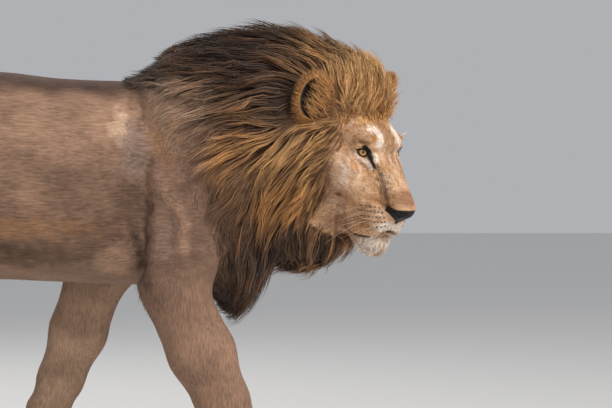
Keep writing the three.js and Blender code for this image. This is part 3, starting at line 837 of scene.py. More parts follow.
def subdivided(mesh, chosen):
    """Splits each chosen face in four."""
    mesh.polygons.foreach_set("select", chosen)
    bm = bmesh.new()
    bm.from_mesh(mesh)
    edges = [e for e in bm.edges if any(f.select for f in e.link_faces)]
    bmesh.ops.subdivide_edges(bm, edges=edges, cuts=1, use_grid_fill=True)
    bm.to_mesh(mesh)
    bm.free()


def make_skin():
    """The skin in the lion's own frame, unwrapped, with finer faces where the forms are finer."""
    points, quads = surface(lion_skin, SKIN_LOW, SKIN_HIGH, CELL)
    points = settle(lion_skin, points.T, 3, CELL)
    mesh = new_mesh("skin", points.T, np.full(len(quads), 4), quads.ravel())
    unwrap(mesh)
    for regions in ([on_face, on_ears, on_paws], [on_face, on_ears], [on_features], [on_lids]):
        middles = vectors(mesh.polygons, "center")
        subdivided(mesh, np.any([region(middles) for region in regions], 0))
        points = vectors(mesh.vertices, "co")
        moved = np.any([region(points) for region in regions], 0)
        points[:, moved] = settle(lion_skin, points[:, moved], 3, CELL / 2)
        move_points(mesh, points.T)
    close = on_face(points) | on_ears(points)
    points[:, close] = from_head(open_lids(hollow_ears(to_head(points[:, close]))))
    points[2] = np.maximum(points[2], 0)
    move_points(mesh, points.T)
    mesh.shade_smooth()
    return mesh


def unwrap(mesh):
    """Lays the skin out flat in patches, as a map for the coat's colours."""
    holder = add_object("unwrapping", mesh)
    bpy.context.view_layer.objects.active = holder
    bpy.ops.object.select_all(action="DESELECT")
    holder.select_set(True)
    mesh.uv_layers.new(name="OFBake")
    bpy.ops.object.mode_set(mode="EDIT")
    bpy.ops.mesh.select_all(action="SELECT")
    bpy.ops.uv.smart_project(angle_limit=math.radians(70), island_margin=0.004)
    bpy.ops.object.mode_set(mode="OBJECT")
    bpy.data.objects.remove(holder)


# ---------------------------------------------------------------- colours


def srgb(r, g, b):
    """A colour given as on a screen, 0 to 255, as shaders count it."""
    c = np.array([r, g, b]) / 255
    return np.where(c <= 0.04045, c / 12.92, ((c + 0.055) / 1.055) ** 2.4)


BLACK = srgb(22, 18, 17)
DARK = srgb(58, 42, 34)
UMBER = srgb(92, 62, 40)
BROWN = srgb(128, 88, 56)
TAWNY = srgb(158, 114, 74)
OCHRE = srgb(198, 140, 78)
GOLD = srgb(216, 164, 102)
STRAW = srgb(236, 186, 122)
SAND = srgb(166, 130, 106)
GREY_SAND = srgb(134, 104, 86)
BACK_BROWN = srgb(72, 50, 38)
PINK_SAND = srgb(190, 152, 124)
ASH = srgb(144, 122, 110)
DUSK = srgb(84, 64, 50)
FACE_TAN = srgb(196, 152, 112)
PALE = srgb(224, 188, 158)
WHITE = srgb(246, 230, 214)
PINK_BROWN = srgb(150, 108, 80)
SCAR = srgb(118, 60, 52)


WAVES = 8  # in each ripple


def ripple(p, length, seed):
    """A smooth wander between about -1 and 1 over the given length."""
    draw = np.random.default_rng(seed)
    way = norm(draw.normal(size=(3, WAVES))).T * (2 * math.pi / length) * draw.uniform(0.6, 1.7, (WAVES, 1))
    return np.sin(way @ p + draw.uniform(0, 6.28, (WAVES, 1))).sum(0) / 3


def mix(colour, new, share):
    """Colours (N, 3) with a share of a new one laid over them."""
    return colour + (new - colour) * np.clip(share, 0, 1)[:, None]


def dab_share(p, centre, radii):
    """1 in the middle of an oval mark, fading to 0 at its edge."""
    return step(1.0, 0.45, size_of((p - column(*centre)) / column(*radii)))


MOUTH_FRONT = ([86, 6, -182], [14, 30, 11])  # the dark of the lips below the cleft: middle and radii
SCAR_PLACE = [-24, -86, -117]

# Marks on both sides of the face, in the head's frame, with painted shade under the brow and under the
# cheekbone among them: colour, middle, radii and strength.
FACE_DABS = [
    (GOLD, [-20, 40, 84], [56, 70, 44], 0.7),
    (OCHRE, [-20, 0, 92], [50, 60, 34], 0.75),
    (PALE, [-10, 84, -60], [58, 46, 66], 0.6),
    (PALE, [84, 6, -46], [50, 34, 26], 0.3),
    (PINK_BROWN, [118, 0, -80], [36, 44, 30], 0.9),
    (TAWNY, [96, 40, -92], [40, 30, 34], 0.7),
    (PALE, [38, 14, 0], [34, 20, 34], 0.6),
    (OCHRE, [14, 47, 42], [11, 9, 14], 0.9),
    (WHITE, [30, 41, -4], [14, 8, 20], 0.8),
    (OCHRE, [2, 84, -34], [18, 18, 16], 0.5),
    (TAWNY, [-40, 80, 20], [44, 40, 40], 0.3),
    # painted shade under the brow, in the fold over the upper lid
    (BROWN, [4, 66, 26], [26, 20, 9], 0.8),
    (TAWNY, [60, 62, -128], [34, 24, 26], 0.6),
    # painted shade under the cheekbone
    (GREY_SAND, [-30, 84, -130], [50, 40, 40], 0.4),
    (WHITE, [-9, 99, -42], [20, 16, 22], 0.4),
    (WHITE, [-5, 97, -74], [22, 18, 24], 0.35),
    (PALE, [84, 42, -138], [40, 26, 28], 0.55),
    (WHITE, [98, 22, -163], [30, 36, 26], 1.0),
    (BROWN, [44, 68, -164], [34, 20, 20], 0.55),
    (WHITE, [62, 24, -212], [48, 48, 30], 1.0),
    (WHITE, [40, 30, -236], [50, 40, 24], 1.0),
    (GREY_SAND, [-20, 70, -190], [46, 50, 36], 0.6),
    (UMBER, [-11, 6, 67], [11, 7, 15], 0.8),
    (BLACK, *MOUTH_FRONT, 1.0),
]
# Lines on both sides of the face, the streak beside the bridge and the nostrils' slits being painted shade:
# colour, path, width and strength.
FACE_LINES = [
    (WHITE, laid([[-2, 72, -10], [5, 61, -17], [20, 56, -25], [30, 53, -32]]), 6.0, 0.9),
    (TAWNY, laid([[-11, 7, 67], [12, 8, 50], [30, 9, 32], [40, 10, 12], [50, 10, -10]]), 7.0, 0.6),
    (WHITE, WHITE_BROW, 10.0, 0.9),
    # painted shade down the groove beside the bridge of the nose
    (DARK, TEAR_STREAK_SHADE, 6.5, 0.42),
    (BLACK, TEAR_LINE, 8.5, 1.0),
    (BLACK, TEAR_TIP, 5.0, 1.0),
    (BLACK, LID_RIM, 2.6, 0.9),
    (BLACK, MOUTH_CORNER, 5.4, 1.0),
    (BLACK, MOUTH_LINE, 3.6, 1.0),
    (BLACK, CLEFT, 2.0, 0.9),
    # the nostril's slit painted black as the shade in its opening
    (BLACK, NOSTRIL, 5.0, 1.0),
]
# The upper and lower edge of the nose's bare pad, by how far aside.
PAD_TOP = through([[-1, -102], [22, -103], [33, -105], [39, -103], [44, -99]])
PAD_EDGE = through([[-1, -152], [4, -149], [12, -141], [21, -134], [31, -125], [38, -117], [43, -106]])


def pad_share(h):
    """1 on the bare pad of the nose."""
    q = mirrored(h)
    below_top = step(0.5, -1.5, q[2] - PAD_TOP(q[1]))
    return step(44, 41, q[1]) * below_top * step(-1.5, 1, q[2] - PAD_EDGE(q[1])) * step(88, 93, q[0])


def face_colour(h):
    """The colour of the face's short coat and bare parts, with shade painted under the brow and cheekbone,
    beside the bridge and in the nostrils.
    """
    q = mirrored(h)
    colour = np.tile(FACE_TAN, (h.shape[1], 1))
    blotch = ripple(h, 26, 5)
    colour = mix(colour, PALE, 0.30 + 0.35 * blotch)
    colour = mix(colour, OCHRE, 0.3 * ripple(h, 60, 6))
    for new, centre, radii, strength in FACE_DABS:
        colour = mix(colour, new, strength * dab_share(q, centre, radii) * (1 + 0.25 * blotch))
    streaked = step(0.25, 0.9, ripple(h * column(1, 2.4, 0.5), 12, 21)) * step(20, 60, h[2])
    colour = mix(colour, UMBER, 0.5 * streaked)
    mottled = step(0.3, 1.0, ripple(h, 15, 22)) * step(120, 90, h[0])
    colour = mix(colour, BROWN, 0.42 * mottled)
    for new, path, width, strength in FACE_LINES:
        off = off_path(path, q) + 1.6 * ripple(h, 13, 23) * (new is WHITE)
        colour = mix(colour, new, strength * step(1.25, 0.55, off / width))
    speckle = step(0.1, 0.7, ripple(h, 9, 12)) * step(30, 8, off_path(TEAR_STREAK_SHADE, q))
    colour = mix(colour, DARK, 0.75 * speckle * (h[2] < -20))
    colour = mix(colour, DARK, 0.85 * step(4.0, 1.8, root_distance(h)))
    share, r = lid_share(h)
    rim = np.where(eye_view(h)[1] > 0, 1.45, 1.27)  # the black rim is wider over the eye than under it
    colour = mix(colour, BLACK, (r < 40) * (share < 5) * step(rim, rim - 0.16, share))
    colour = mix(colour, SCAR, 0.9 * (h[1] < 0) * dab_share(h, SCAR_PLACE, [15, 14, 6]))
    return mix(colour, BLACK, pad_share(h))


def ear_colour_and_hollow_shade(h):
    """Golden brown, darker behind, and black in the hollow as painted shade."""
    q = to_ear(mirrored(h))
    across = np.sqrt((q[1] / EAR_RADII[1]) ** 2 + ((q[2] - 2) / EAR_RADII[2]) ** 2)
    colour = np.tile(TAWNY, (h.shape[1], 1))
    colour = mix(colour, OCHRE, step(-4, 12, q[0]) * 0.6)
    # the hollow painted black as its shade
    colour = mix(colour, BLACK, step(0.86, 0.70, across) * (q[0] > -14))
    return mix(colour, DARK, step(-8, -16, q[0]) * step(0.95, 0.8, across) * 0.8)


# Marks on the sides of the body, the dusky band low on the flank being painted shadow: colour, middle in x
# and z, radii, strength, and whether on the right alone.
BODY_DABS = [
    (SAND, [-290, 985], [230, 90], 0.7, False),
    (PALE, [-142, 985], [26, 62], 0.55, True),
    (ASH, [-106, 930], [42, 100], 0.8, True),
    (DUSK, [-112, 790], [64, 84], 0.65, True),
    (DUSK, [-220, 830], [150, 70], 0.28, False),
    (SAND, [-355, 815], [84, 50], 0.55, False),
    (TAWNY, [-400, 735], [330, 34], 0.45, False),
    # painted shadow along the low flank
    (DUSK, [-420, 672], [260, 40], 0.55, False),
    (PINK_SAND, [-150, 655], [74, 50], 0.75, True),
    (TAWNY, [-20, 950], [52, 80], 0.5, False),
    (SAND, [-20, 1070], [60, 44], 0.8, False),
    (ASH, [-14, 700], [44, 80], 0.4, True),
    (SAND, [-760, 860], [170, 130], 0.5, False),
    (TAWNY, [-960, 800], [150, 140], 0.4, False),
]
# Lines there, painted shade in the creases and a painted highlight on the triceps' edge: colour, path in x
# and z, width, strength, and whether on the right alone.
BODY_SHADE_AND_HIGHLIGHT_LINES = [
    # painted shade in the crease behind the near shoulder and in the folds above the elbow
    (UMBER, [[-66, 895], [-68, 800], [-72, 690]], 11, 0.55, True),
    (DARK, [[-70, 790], [-74, 690], [-76, 590]], 10, 0.75, True),
    (DARK, [[-112, 740], [-98, 700], [-88, 660], [-86, 610]], 7, 0.6, True),
    # painted highlight along the edge of the triceps
    (SAND, [[-56, 872], [-36, 832], [0, 790], [20, 752], [14, 680]], 15, 0.75, True),
    # painted shade in the creases in front of the ribs
    (DARK, [[-88, 1045], [-84, 1010], [-90, 975]], 6, 0.45, True),
    (UMBER, [[-120, 1072], [-112, 1050], [-116, 1020]], 5, 0.4, True),
]


def body_marks_and_painted_shade(colour, p):
    """Adds the marks of the body's sides to colours, with shade painted in its creases and low on the flank,
    and a highlight painted on the triceps.
    """
    flank = np.stack([p[0] + 8 * ripple(p, 44, 15), 0 * p[0], p[2] + 8 * ripple(p, 44, 16)])
    on_flanks = {False: step(40, 90, np.abs(p[1])), True: step(40, 90, -p[1])}
    for new, (x, z), (reach_x, reach_z), strength, right_only in BODY_DABS:
        share = strength * dab_share(flank, [x, 0, z], [reach_x, 1, reach_z])
        colour = mix(colour, new, share * on_flanks[right_only])
    for new, path, width, strength, right_only in BODY_SHADE_AND_HIGHLIGHT_LINES:
        share = strength * step(1.3, 0.3, off_path(path, flank) / width)
        colour = mix(colour, new, share * on_flanks[right_only])
    return colour


def height_up(p):
    """0 at the line of the belly, 1 at the line of the back."""
    return (p[2] - belly_line(p[0])) / (back_line(p[0]) - belly_line(p[0]))


def body_colour(p, n):
    """The colour of the short coat of trunk, legs and tail, at points p with outward directions n, with shade
    painted low on the flanks.
    """
    up = height_up(p)
    colour = np.tile(GREY_SAND, (p.shape[1], 1))
    colour = mix(colour, SAND, step(0.45, 0.85, up) * 0.6)
    colour = mix(colour, PALE, step(-0.5, -0.95, n[2]) * 0.25)
    # darker towards the belly: partly the coat's own colour, partly painted shade from light above
    colour = mix(colour, DUSK, step(0.45, 0.05, up) * 0.35)
    colour = body_marks_and_painted_shade(colour, p)
    colour = mix(colour, SAND, step(640, 480, p[2]) * 0.6)
    inner = step(0.25, 0.9, -side_of(p) * n[1])
    colour = mix(colour, PALE, inner * step(640, 520, p[2]) * 0.4)
    colour = mix(colour, PALE, step(120, 60, p[2]) * 0.3)
    colour = mix(colour, SAND, 0.2 * ripple(p, 36, 9))
    colour = mix(colour, DUSK, 0.12 * ripple(p, 130, 9))
    on_back = step(0.87, 0.97, up + 0.012 * ripple(p, 90, 8)) * step(60, 120, p[0] + 1260)
    colour = mix(colour, BACK_BROWN, 0.9 * on_back)
    on_tail = p[0] < TAIL_X
    colour = mix(colour, TAWNY, 0.5 * on_tail)
    far_out = TAIL_POINTS[6][0]
    return mix(colour, BLACK, on_tail * (p[2] < 400) * step(far_out + 10, far_out - 60, p[0]))


# The mane as seen from the side: x and z of a place, how its hair lies there, and its two colours, one of
# the locks that lie deep and one of those on top.
MANE_ZONES = [
    (-90, 1128, [-1.0, 0.15], DARK, DARK),
    (0, 1170, [-1.0, 0.15], DARK, UMBER),
    (60, 1205, [-1.0, 0.1], DARK, DARK),
    (170, 1215, [-1.0, 0.15], DARK, UMBER),
    (281, 1216, [-0.95, 0.3], DARK, UMBER),
    (390, 1205, [-0.7, 0.7], DARK, UMBER),
    (480, 1180, [-0.25, 1.0], DARK, BROWN),
    (530, 1120, [0.0, 1.0], UMBER, TAWNY),
    (342, 1160, [-0.8, 0.6], BROWN, GOLD),
    (420, 1140, [-0.35, 0.95], BROWN, GOLD),
    (380, 1090, [-0.6, 0.8], TAWNY, STRAW),
    (430, 1075, [0.0, 1.0], TAWNY, STRAW),
    (489, 1064, [0.15, 1.0], OCHRE, STRAW),
    (264, 1100, [-1.0, 0.15], DARK, BROWN),
    (264, 1040, [-1.0, -0.1], DARK, TAWNY),
    (200, 1050, [-1.0, -0.1], DARK, UMBER),
    (133, 1120, [-1.0, -0.1], DARK, UMBER),
    (23, 1098, [-1.0, -0.15], DARK, BROWN),
    (-40, 1055, [-0.9, -0.35], PINK_SAND, PALE),
    (-60, 940, [-0.7, -0.7], SAND, PALE),
    (15, 1010, [-0.9, -0.4], PINK_SAND, PALE),
    (20, 930, [-0.7, -0.7], SAND, PINK_SAND),
    (20, 850, [-0.45, -0.9], SAND, PINK_SAND),
    (40, 750, [-0.2, -1.0], SAND, PINK_SAND),
    (100, 1015, [-0.95, -0.35], UMBER, BROWN),
    (180, 1000, [-0.9, -0.4], UMBER, OCHRE),
    (110, 897, [-0.8, -0.6], BROWN, OCHRE),
    (195, 885, [-0.7, -0.7], UMBER, GOLD),
    (293, 922, [-0.65, -0.75], UMBER, GOLD),
    (340, 1000, [-0.75, -0.65], BROWN, GOLD),
    (359, 946, [-0.6, -0.8], TAWNY, GOLD),
    (379, 872, [-0.55, -0.8], BROWN, GOLD),
    (305, 799, [-0.5, -0.85], UMBER, OCHRE),
    (367, 787, [-0.45, -0.85], BROWN, GOLD),
    (219, 787, [-0.5, -0.85], UMBER, OCHRE),
    (133, 787, [-0.45, -0.9], UMBER, BROWN),
    (391, 730, [-0.35, -0.85], UMBER, OCHRE),
    (335, 681, [-0.15, -1.0], DARK, TAWNY),
    (268, 676, [-0.2, -1.0], DARK, TAWNY),
    (158, 647, [-0.1, -1.0], DARK, BROWN),
    (138, 553, [0.0, -1.0], DARK, UMBER),
    (90, 688, [-0.1, -1.0], UMBER, BROWN),
]
LIE, DEEP, TOP = 2, 3, 4  # columns of the zones
ZONE_WIDTH = 40.0
WHORL = [-72, 95, 98]  # in the head's frame, before the left ear
FAN_X, FAN_Z = 408, 1034  # middle of the hair that turns about the whorl, as seen from the side


def as_right(p):
    """Points brought over to the lion's right side, in the head's frame on the head and the body's behind it,
    and how far each counts as on the head."""
    h = to_head(p)
    on_head = step(-300, -190, h[0])
    right_h, right_p = flipped(mirrored(h), RIGHT), flipped(mirrored(p), RIGHT)
    return from_head(right_h) * on_head + right_p * (1 - on_head), on_head


def by_zone(p, values):
    """One of the columns of the mane's zones at points (3, N), running smoothly from zone to zone."""
    right, _ = as_right(p)
    x, z = np.array([zone[:2] for zone in MANE_ZONES], float).T[:, :, None]
    off = (right[0] - x) ** 2 + (right[2] - z) ** 2
    weight = np.exp((off.min(0) - off) / (2 * ZONE_WIDTH**2))
    return np.array([zone[values] for zone in MANE_ZONES]).T @ (weight / weight.sum(0))


def mane_lie(p):
    """The way the mane's hair runs at points of the lion's frame."""
    h = to_head(p)
    right, on_head = as_right(p)
    lie_x, lie_z = by_zone(p, LIE)
    in_head = HEAD_AXES.T @ np.stack([lie_x, 0 * lie_x, lie_z])
    in_head[1] *= step(0, 60, np.abs(h[1]))
    fan = norm(flipped(mirrored(h) - column(*WHORL), RIGHT) + 1e-3)
    fan_share = step(120, 50, np.hypot(right[0] - FAN_X, right[2] - FAN_Z)) * step(0.1, 0.6, fan[2])
    in_head = in_head + (fan - in_head) * fan_share * step(10, 50, np.abs(h[1])) * 0.8
    behind = np.stack([lie_x, -0.1 + 0 * lie_x, lie_z])
    way = HEAD_AXES @ flipped(in_head, -side_of(h)) * on_head + flipped(behind, -side_of(p)) * (1 - on_head)
    wisp = np.stack([ripple(p, 150, seed) for seed in (31, 32, 33)])
    curl = np.stack([ripple(p, 55, seed) for seed in (34, 35, 36)])
    return norm(way) + 0.28 * wisp + 0.2 * curl * step(-20, 90, p[0])


def mane_colour(p, tone):
    """The mane's colour at points, from deep and dark at tone 0 to the top locks at 1."""
    deep, top = by_zone(p, DEEP), by_zone(p, TOP)
    return (deep + (top - deep) * tone).T


# The edge of the face's short hair in the head's frame: x at each height.
hairline_x = through([
    [-320, 40], [-243, 26], [-226, -14], [-208, -50], [-185, -62], [-155, -60], [-113, -54], [-57, -44],
    [-11, -55], [35, -72], [78, -92], [98, -98], [200, -104],
])


def behind_hairline(h):
    """How far points of the head's frame lie behind the edge of the face, along the skin."""
    q = mirrored(h)
    return np.maximum(hairline_x(q[2]) - q[0], (q[2] - 80) * 0.9)


# The mane's rear edge seen from the side, where its dark hair begins: x at each height.
mane_edge = through([
    [420, 160], [587, 148], [660, 142], [733, 138], [806, 132], [855, 122], [920, 116], [1060, 96],
    [1105, 30], [1300, 0],
])
FRINGE = 165.0  # how far short pale hair reaches behind that edge


def mane_share(p):
    """The share of its full length that the mane has at points, 0 off it."""
    h = to_head(p)
    past = behind_hairline(h)
    at_face = np.where(h[0] > -210, 0.2 * (past > -4) + 0.8 * step(0, 62, past), 1)
    at_rear = p[0] - mane_edge(p[2])
    growing = 0.12 * step(-FRINGE, -FRINGE + 40, at_rear) + 0.88 * step(-40, 100, at_rear)
    deep = step(-2, 9, -mane(p)) + (h[0] > -100) * (np.abs(h[1]) < 130) * (h[2] > -275)
    return np.where(on_ears(p), 0, at_face * growing * np.minimum(deep, 1))


# ---------------------------------------------------------------- materials


def add_group(name, inputs, outputs):
    """An empty node group with named inputs [(name, default)] and outputs."""
    group = bpy.data.node_groups.new(name, "ShaderNodeTree")
    for label, default in inputs:
        socket = group.interface.new_socket(label, in_out="INPUT", socket_type="NodeSocketFloat")
        socket.default_value = default
    for label in outputs:
        group.interface.new_socket(label, in_out="OUTPUT", socket_type="NodeSocketFloat")
    return group, group.nodes.new("NodeGroupInput"), group.nodes.new("NodeGroupOutput")


def feed(tree, value, socket):
    """Gives a socket a plain value, or links it to the output of another node."""
    if hasattr(value, "is_output"):
        tree.links.new(value, socket)
    else:
        socket.default_value = value


def math_node(tree, kind, a, b):
    """The output of a node of arithmetic on two values."""
    node = tree.nodes.new("ShaderNodeMath")
    node.operation = kind
    feed(tree, a, node.inputs[0])
    feed(tree, b, node.inputs[1])
    return node.outputs[0]


def object_place(tree):
    """The place on the object that is being shaded."""
    return tree.nodes.new("ShaderNodeTexCoord").outputs["Object"]


def noise_node(tree, scale, detail, stretch=(1, 1, 1)):
    """Noise over the object, stretched along the axes whose factor is small."""
    mapping = tree.nodes.new("ShaderNodeMapping")
    noise = tree.nodes.new("ShaderNodeTexNoise")
    feed(tree, stretch, mapping.inputs["Scale"])
    feed(tree, object_place(tree), mapping.inputs["Vector"])
    feed(tree, mapping.outputs[0], noise.inputs["Vector"])
    feed(tree, detail, noise.inputs["Detail"])
    feed(tree, scale, noise.inputs["Scale"])
    return noise.outputs["Fac"]


def swing_about_one(tree, value, middle, strength, tone):
    """Feeds a tone with 1, more or less as far as a value lies over or under its middle."""
    off = math_node(tree, "MULTIPLY", math_node(tree, "SUBTRACT", value, middle), strength)
    feed(tree, math_node(tree, "ADD", math_node(tree, "MULTIPLY", off, 2), 1), tone)


def hair_tone_group():
    """Light and dark between strands: a value round 1."""
    inputs = [("Patches", 14), ("Strands", 220), ("Strength", 0.3)]
    group, given, made = add_group("hair tone", inputs, ["Tone"])
    patches = noise_node(group, given.outputs["Patches"], 2)
    strands = noise_node(group, given.outputs["Strands"], 1)
    both = math_node(group, "ADD", patches, strands)
    swing_about_one(group, both, 1.0, given.outputs["Strength"], made.inputs["Tone"])
    return group


def short_fur_group():
    """Short hair lying flat, backward on the trunk and down the legs: its height and its light and dark."""
    inputs = [("Down", 0), ("Scale", 260), ("Strength", 0.4)]
    group, given, made = add_group("short fur", inputs, ["Height", "Tone"])
    back = noise_node(group, given.outputs["Scale"], 3, (0.13, 1, 0.7))
    down = noise_node(group, given.outputs["Scale"], 3, (1, 1, 0.13))
    patches = noise_node(group, 16, 3, (0.5, 1, 1))
    turn = math_node(group, "MULTIPLY", math_node(group, "SUBTRACT", down, back), given.outputs["Down"])
    fur = math_node(group, "ADD", back, turn)
    feed(group, fur, made.inputs["Height"])
    parts = [math_node(group, "MULTIPLY", *part) for part in ((fur, 0.7), (patches, 0.5))]
    light = math_node(group, "ADD", *parts)
    swing_about_one(group, light, 0.6, given.outputs["Strength"], made.inputs["Tone"])
    return group


HAIR_TONE = hair_tone_group()
SHORT_FUR = short_fur_group()


def attribute(tree, name, kind="Color"):
    """What a piece's mesh says under a name at the shaded place."""
    node = tree.nodes.new("ShaderNodeAttribute")
    node.attribute_name = name
    return node.outputs[kind]


def new_material(name, roughness, sheen=0.0, specular=0.5):
    """A material with its node tree and its shader."""
    material = bpy.data.materials.new(name)
    material.use_nodes = True
    shader = material.node_tree.nodes["Principled BSDF"]
    shader.inputs["Roughness"].default_value = roughness
    shader.inputs["Specular IOR Level"].default_value = specular
    shader.inputs["Sheen Weight"].default_value = sheen
    shader.inputs["Sheen Roughness"].default_value = 0.5
    return material, material.node_tree, shader


def toned(tree, colour, tone, shader):
    """Feeds a colour times a tone into the shader."""
    times = tree.nodes.new("ShaderNodeVectorMath")
    times.operation = "SCALE"
    feed(tree, colour, times.inputs[0])
    feed(tree, tone, times.inputs["Scale"])
    feed(tree, times.outputs[0], shader.inputs["Base Color"])


def use_group(tree, group, **values):
    """A group placed in a material with its own values."""
    node = tree.nodes.new("ShaderNodeGroup")
    node.node_tree = group
    for name, value in values.items():
        feed(tree, value, node.inputs[name])
    return node.outputs


def hair_material(name, roughness, strength, specular=0.35):
    """Hair in the colours of its strands, with light and dark between them."""
    material, tree, shader = new_material(name, roughness, 0.1, specular)
    hair = use_group(tree, HAIR_TONE, Patches=14, Strands=220, Strength=strength)
    toned(tree, attribute(tree, "coat"), hair["Tone"], shader)
    return material


def skin_material():
    """Short fur over the body; the nose's pad, the lips and the rims of the eyes are smooth and moist."""
    material, tree, shader = new_material("short coat", 0.75, 0.05, 0.2)
    fur = use_group(tree, SHORT_FUR, Scale=300, Strength=1.0, Down=attribute(tree, "down", "Fac"))
    toned(tree, attribute(tree, "coat"), fur["Tone"], shader)
    bare = attribute(tree, "bare", "Fac")
    pebbles = tree.nodes.new("ShaderNodeTexVoronoi")
    feed(tree, 420, pebbles.inputs["Scale"])
    feed(tree, object_place(tree), pebbles.inputs["Vector"])
    height = tree.nodes.new("ShaderNodeMix")
    feed(tree, bare, height.inputs["Factor"])
    feed(tree, fur["Height"], height.inputs["A"])
    feed(tree, pebbles.outputs["Distance"], height.inputs["B"])
    bump = tree.nodes.new("ShaderNodeBump")
    feed(tree, 0.75, bump.inputs["Strength"])
    feed(tree, 0.003, bump.inputs["Distance"])
    feed(tree, height.outputs[0], bump.inputs["Height"])
    feed(tree, bump.outputs[0], shader.inputs["Normal"])
    roughness = math_node(tree, "SUBTRACT", 0.78, math_node(tree, "MULTIPLY", bare, 0.4))
    feed(tree, roughness, shader.inputs["Roughness"])
    return material


# ---------------------------------------------------------------- the skin as a finished piece


def add_value(mesh, name, values):
    """A named value (N) or colour (N, 3) at each vertex."""
    values = np.asarray(values, np.float32)
    if values.ndim == 1:
        mesh.attributes.new(name, "FLOAT", "POINT").data.foreach_set("value", values)
    else:
        rgba = np.concatenate([values, np.ones((len(values), 1), np.float32)], 1)
        mesh.attributes.new(name, "FLOAT_COLOR", "POINT").data.foreach_set("color", rgba.ravel())


def add_piece(name, mesh, material, slot, *nodes):
    """A finished piece, which may stand for some of the solids."""
    piece = add_object(name, mesh)
    mesh.materials.append(material)
    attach(piece, "root")
    if nodes:
        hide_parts(*nodes)


def face_share(h):
    """1 on the face and the ears, 0 on the neck and body."""
    return step(-150, -60, h[0]) * step(200, 150, np.abs(h[1])) * step(-340, -290, h[2])


def coat_colour(p, n):
    """The coat's colour at points on the skin, under any mane."""
    h = to_head(p)
    colour = mix(body_colour(p, n), face_colour(h), face_share(h))
    # under the mane the skin is painted darker than the mane's deep locks, as shade under the hair
    colour = mix(colour, mane_colour(p, 0.0) * 0.75, step(0.2, 0.6, mane_share(p)))
    ear = on_ears(p)
    colour[ear] = ear_colour_and_hollow_shade(h[:, ear])
    return colour


def lie_downward(p):
    """1 where the short hair runs down a leg, 0 where it runs back along the trunk."""
    return step(690, 560, p[2]) * (p[0] > RUMP_X - 60)


PAIRED = ("ear", "foreleg", "forepaw", "hindleg", "hindpaw")
ONE_EACH = ("trunk", "breast", "neck", "mane_crown", "head", "tail", "tail_tuft")
FLESH = [*ONE_EACH, *(part + end for part in PAIRED for end in ("_right", "_left"))]

skin_mesh = make_skin()
skin_points = vectors(skin_mesh.vertices, "co")
skin_normals = vectors(skin_mesh.vertices, "normal")
skin_mesh.calc_loop_triangles()
skin_corners = read(skin_mesh.loop_triangles, "vertices", 3, np.int32)
skin_loops = read(skin_mesh.loop_triangles, "loops", 3, np.int32)
skin_map = read(skin_mesh.uv_layers["OFBake"].data, "uv", 2)[skin_loops]


def add_skin():
    """The skin with its colours, its short fur and its bare parts."""
    h = to_head(skin_points)
    share, r = lid_share(h)
    rims = (r < 30) * step(1.3, 1.15, share)
    lips = step(1.2, 0.6, off_path(MOUTH_LINE, mirrored(h)) / 4.4)
    move_points(skin_mesh, in_row(skin_points))
    add_value(skin_mesh, "coat", coat_colour(skin_points, skin_normals))
    add_value(skin_mesh, "down", lie_downward(skin_points))
    add_value(skin_mesh, "bare", np.clip(pad_share(h) + rims + lips, 0, 1))
    add_piece("skin", skin_mesh, skin_material(), "coat", *FLESH)


# ---------------------------------------------------------------- eyes

PUPIL, IRIS = math.radians(9.5), math.radians(26)
RIM = math.radians(2.3)  # the dark edge of the iris
RINGS_OF_IRIS = np.linspace(14, 25, 6)
EYE_RINGS = np.radians([0, 4, 8, 9.5, 11, *RINGS_OF_IRIS, 27, 28.5, 31, 36, *np.linspace(44, 180, 18)])
EYE_TURNS = 48
CORNEA = 1.5  # how far it bulges
GAZE = {"right": [0.793, -0.564, 0.23], "left": [0.875, 0.42, 0.24]}
AMBER = srgb(206, 146, 62)
DARK_AMBER = srgb(120, 70, 22)
SHADED_EYE_WHITE = srgb(70, 52, 44)


def iris_colour(angle, streak):
    """The eyeball's colour at an angle from the line of sight."""
    if angle < PUPIL:
        return BLACK * 0.3
    if angle < IRIS:
        inward = (angle - PUPIL) / (IRIS - PUPIL)
        return (DARK_AMBER + (AMBER - DARK_AMBER) * math.sin(math.pi * min(inward * 0.9 + 0.08, 1))) * streak
    # the white of the eye painted dark as shade
    return BLACK if angle < IRIS + RIM else SHADED_EYE_WHITE


def eye_material():
    """Flecked iris and a white painted dark as shade, under a clear, wet surface."""
    material, tree, shader = new_material("eye", 0.25)
    toned(tree, attribute(tree, "iris"), math_node(tree, "ADD", noise_node(tree, 900, 2), 0.5), shader)
    shader.inputs["Coat Weight"].default_value = 1.0
    shader.inputs["Coat Roughness"].default_value = 0.03
    return material


EYE_MATERIAL = eye_material()


